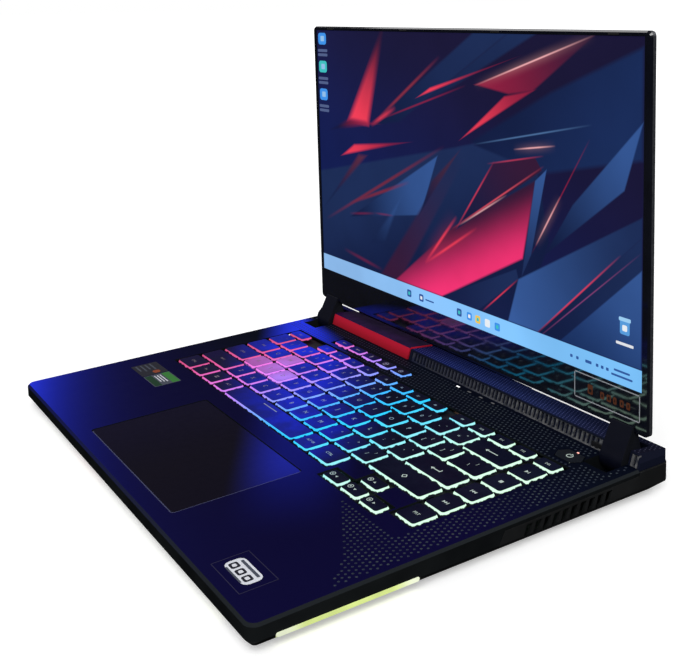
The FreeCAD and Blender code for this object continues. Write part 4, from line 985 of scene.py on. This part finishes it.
GREY = (0.07, 0.08, 0.11)
DARK_PRINT = (0.018, 0.018, 0.030)
GREEN = (0.04, 0.22, 0.04)
DARK_GREEN = (0.008, 0.05, 0.02)
ORANGE = (0.30, 0.06, 0.02)
WHITE = (0.72, 0.74, 0.80)
VIOLET_GREY = (0.022, 0.020, 0.055)
LINE_GREY = (0.45, 0.46, 0.50)
DIM_ORANGE = (0.13, 0.036, 0.014)
GLOSS_BLACK = (0.004, 0.004, 0.008)

left_patches = [(-158.0, -134.0, -60.0, -41.0, 0.8, DARK_PRINT, 0.0),
                (-133.0, -110.0, -60.0, -41.0, 0.8, GREY, 0.0)]
for i in range(4):
    left_patches.append((-156.4, -145.0 + 2.0 * (i % 2), -57.5 + 3.4 * i, -56.3 + 3.4 * i, 0.3, GREY, 0.03))
left_patches.append((-141.5, -136.0, -50.5, -45.5, 1.8, ORANGE, 0.03))
left_patches.append((-132.4, -110.6, -47.0, -41.6, 0.5, GREEN, 0.03))
left_patches.append((-132.4, -110.6, -59.4, -54.5, 0.5, DARK_GREEN, 0.03))
for i in range(3):
    left_patches.append((-130.4, -117.0 + i, -53.2 + 2.0 * i, -52.4 + 2.0 * i, 0.2, WHITE, 0.03))
patches("left_stickers", left_patches, "base", ON_DECK, sticker, -0.03, 0.09)

right_patches = [(124.5, 147.5, -117.6, -106.6, 3.4, WHITE, 0.0),
                 (127.0, 145.0, -109.4, -107.8, 0.5, GREY, 0.03)]
for i in range(3):
    right_patches.append((126.4 + 6.8 * i, 131.6 + 6.8 * i, -115.8, -111.0, 1.1, DARK_PRINT, 0.03))
    right_patches.append((127.7 + 6.8 * i, 130.3 + 6.8 * i, -114.5, -112.3, 0.6, WHITE, 0.06))
right_patches.append((128.0, 144.0, -117.8, -116.8, 0.3, GREY, 0.03))
patches("right_badge", right_patches, "base", ON_DECK, sticker, -0.03, 0.09)

frame_lines = [(121.0, 152.0, -102.4, -102.0), (121.0, 152.0, -122.0, -121.6),
               (121.0, 121.4, -122.0, -102.0), (151.6, 152.0, -122.0, -102.0)]
frame_patches = [(*line, 0.1, VIOLET_GREY, 0.0) for line in frame_lines]
patches("badge_outline", frame_patches, "base", ON_DECK, sticker, -0.02, 0.05)

chin_lines = [(120.0, 171.0, -2.3, -1.7), (120.0, 171.0, -17.5, -16.9), (120.0, 120.6, -17.5, -1.7),
              (170.4, 171.0, -17.5, -1.7)]
chin = [(*line, 0.1, LINE_GREY, 0.0) for line in chin_lines]
for x, width, top in ((131.0, 4.0, -6.8), (141.0, 3.0, -8.4), (146.0, 3.4, -8.4), (151.0, 2.6, -8.4),
                      (156.0, 3.0, -8.4), (161.0, 2.8, -8.4)):
    chin.append((x, x + width, -12.6, top, 0.8, DIM_ORANGE, 0.0))
    chin.append((x + 1.0, x + width - 1.0, -11.4, -9.6, 0.3, GLOSS_BLACK, 0.02))
patches("chin_label", chin, "lid", ON_LID, sticker, -0.03, 0.06)

# ------------ icons on the lit screen
SKY = (0.05, 0.30, 0.85)
WHITE_LIGHT = (0.85, 0.90, 0.95)
DEEP = (0.03, 0.10, 0.35)
YELLOW = (0.90, 0.60, 0.08)
TEAL = (0.05, 0.55, 0.55)
icons = []
for x, tint, inner_tint in (
        (-50, DEEP, TEAL), (-35, DEEP, WHITE_LIGHT), (9, DEEP, TEAL), (20, SKY, WHITE_LIGHT),
        (29, YELLOW, TEAL), (39, WHITE_LIGHT, WHITE_LIGHT), (49, SKY, TEAL)):
    icons.append((x - 2.6, x + 2.6, 3.4, 8.6, 1.0, tint, 0.0))
    icons.append((x - 1.2, x + 1.2, 4.8, 7.2, 0.5, inner_tint, 0.03))
icons.append((-30.0, -20.0, 5.4, 6.4, 0.4, DEEP, 0.0))
for x, width in ((117, 2), (122, 2), (131, 5), (138, 2), (142, 2), (146, 2)):
    icons.append((x - width / 2, x + width / 2, 5.2, 7.0, 0.4, DEEP, 0.0))
icons += [(151.0, 163.0, 7.0, 8.2, 0.4, DEEP, 0.0), (149.0, 165.0, 4.0, 5.2, 0.4, DEEP, 0.0)]
for z, tint in ((187.0, SKY), (165.0, TEAL), (143.0, SKY)):
    icons.append((-170.0, -158.0, z - 4.6, z + 4.6, 2.4, tint, 0.0))
    icons.append((-166.4, -161.0, z - 2.0, z + 2.2, 0.8, (0.30, 0.55, 0.85), 0.03))
    for lower in (8.2, 11.6):
        icons.append((-171.0, -156.5, z - lower - 2.2, z - lower, 0.9, (0.085, 0.12, 0.26), 0.0))
icons += [(155.4, 162.6, 29.5, 38.5, 1.2, (0.10, 0.35, 0.75), 0.0),
          (154.6, 163.4, 37.0, 39.2, 0.7, (0.35, 0.65, 0.95), 0.03),
          (157.2, 160.8, 31.5, 35.0, 0.8, WHITE_LIGHT, 0.03),
          (152.5, 165.5, 23.2, 24.8, 0.5, (0.80, 0.82, 0.86), 0.0)]
patches("screen_icons", icons, "lid", ON_LID, tinted("screen_print", 0.4, 1.0), -0.47, -0.40)

# ------------ studio
floor_mesh = bmesh.new()
FLOOR_REACH = 60
corners = [(-FLOOR_REACH, -FLOOR_REACH), (FLOOR_REACH, -FLOOR_REACH), (FLOOR_REACH, FLOOR_REACH),
           (-FLOOR_REACH, FLOOR_REACH)]
floor_mesh.faces.new([floor_mesh.verts.new((x, y, 0.0)) for x, y in corners])
floor_data = bpy.data.meshes.new("floor")
floor_mesh.to_mesh(floor_data)
floor_mesh.free()
floor = bpy.data.objects.new("floor", floor_data)
bpy.context.scene.collection.objects.link(floor)
floor_paint = Paint("floor_paint")
floor_rays = floor_paint.node("ShaderNodeLightPath").outputs
floor_seen = floor_rays["Is Camera Ray"]
floor_unseen = floor_paint.mix(floor_rays["Is Glossy Ray"], (0.16, 0.16, 0.16), (0.02, 0.02, 0.02))
floor_paint.set(Base_Color=floor_paint.mix(floor_seen, floor_unseen, (0.80, 0.80, 0.80)))
floor_near = floor_paint.near(floor_paint.place(), (0, 0, 0), 3.0, 0.4)
floor_level = floor_paint.math("MULTIPLY_ADD", floor_near, -0.6, 1.0)
floor_paint.set(Emission_Color=(1.0, 1.0, 1.0, 1.0))
floor_paint.set(Emission_Strength=floor_paint.times(floor_seen, floor_level))
floor_paint.set(Roughness=0.9, Specular_IOR_Level=0.0)
floor_data.materials.append(floor_paint.material)

world = bpy.data.worlds.new("studio")
bpy.context.scene.world = world
world.use_nodes = True
world_nodes, world_links = world.node_tree.nodes, world.node_tree.links
sky = world_nodes["Background"]
sky.inputs["Color"].default_value = (1.0, 1.0, 1.0, 1.0)
rays = world_nodes.new("ShaderNodeLightPath").outputs
# The sky lights surfaces at 0.45, is seen at 1.0 by the camera and at 0.12 in reflections.
level = 0.45
for ray, change in (("Is Camera Ray", 0.55), ("Is Glossy Ray", -0.33)):
    step = world_nodes.new("ShaderNodeMath")
    step.operation = "MULTIPLY_ADD"
    world_links.new(rays[ray], step.inputs[0])
    step.inputs[1].default_value = change
    if isinstance(level, float):
        step.inputs[2].default_value = level
    else:
        world_links.new(level, step.inputs[2])
    level = step.outputs[0]
world_links.new(level, sky.inputs["Strength"])


def soft_box(name, place, aim, size, power):
    """Rectangular studio light that faces a point."""
    light = bpy.data.lights.new(name, "AREA")
    light.shape = "RECTANGLE"
    light.size, light.size_y = size
    light.energy = power
    made = bpy.data.objects.new(name, light)
    bpy.context.scene.collection.objects.link(made)
    made.location = place
    made.rotation_euler = (Vector(aim) - Vector(place)).to_track_quat("-Z", "Y").to_euler()


soft_box("key_light", (1.2, -0.9, 1.5), (0.0, 0.0, 0.05), (1.4, 1.0), 22.0)
soft_box("fill_light", (-1.4, -0.6, 1.6), (0.0, 0.0, 0.05), (1.6, 1.2), 12.0)
soft_box("rear_light", (0.6, 1.6, 1.3), (0.0, 0.1, 0.1), (1.4, 0.8), 10.0)

camera_data = bpy.data.cameras.new("camera")
camera = bpy.data.objects.new("camera", camera_data)
bpy.context.scene.collection.objects.link(camera)
bpy.context.scene.camera = camera
camera_data.sensor_width = 36.0
camera_data.lens = 53.23371
camera_data.shift_x = -0.0554
camera_data.shift_y = -0.2681
camera_data.clip_start = 0.01
# The camera's own directions in the frame.
right = Vector((0.55412, 0.83210, -0.02360))
down = Vector((0.09734, -0.09293, -0.99090))
ahead = Vector((-0.82672, 0.54679, -0.13249))
turn = Matrix((right, -down, -ahead)).transposed().to_4x4()
camera.matrix_world = Matrix.Translation((0.5482, -0.2988, 0.2731)) @ turn

bpy.context.scene.view_settings.view_transform = "Standard"
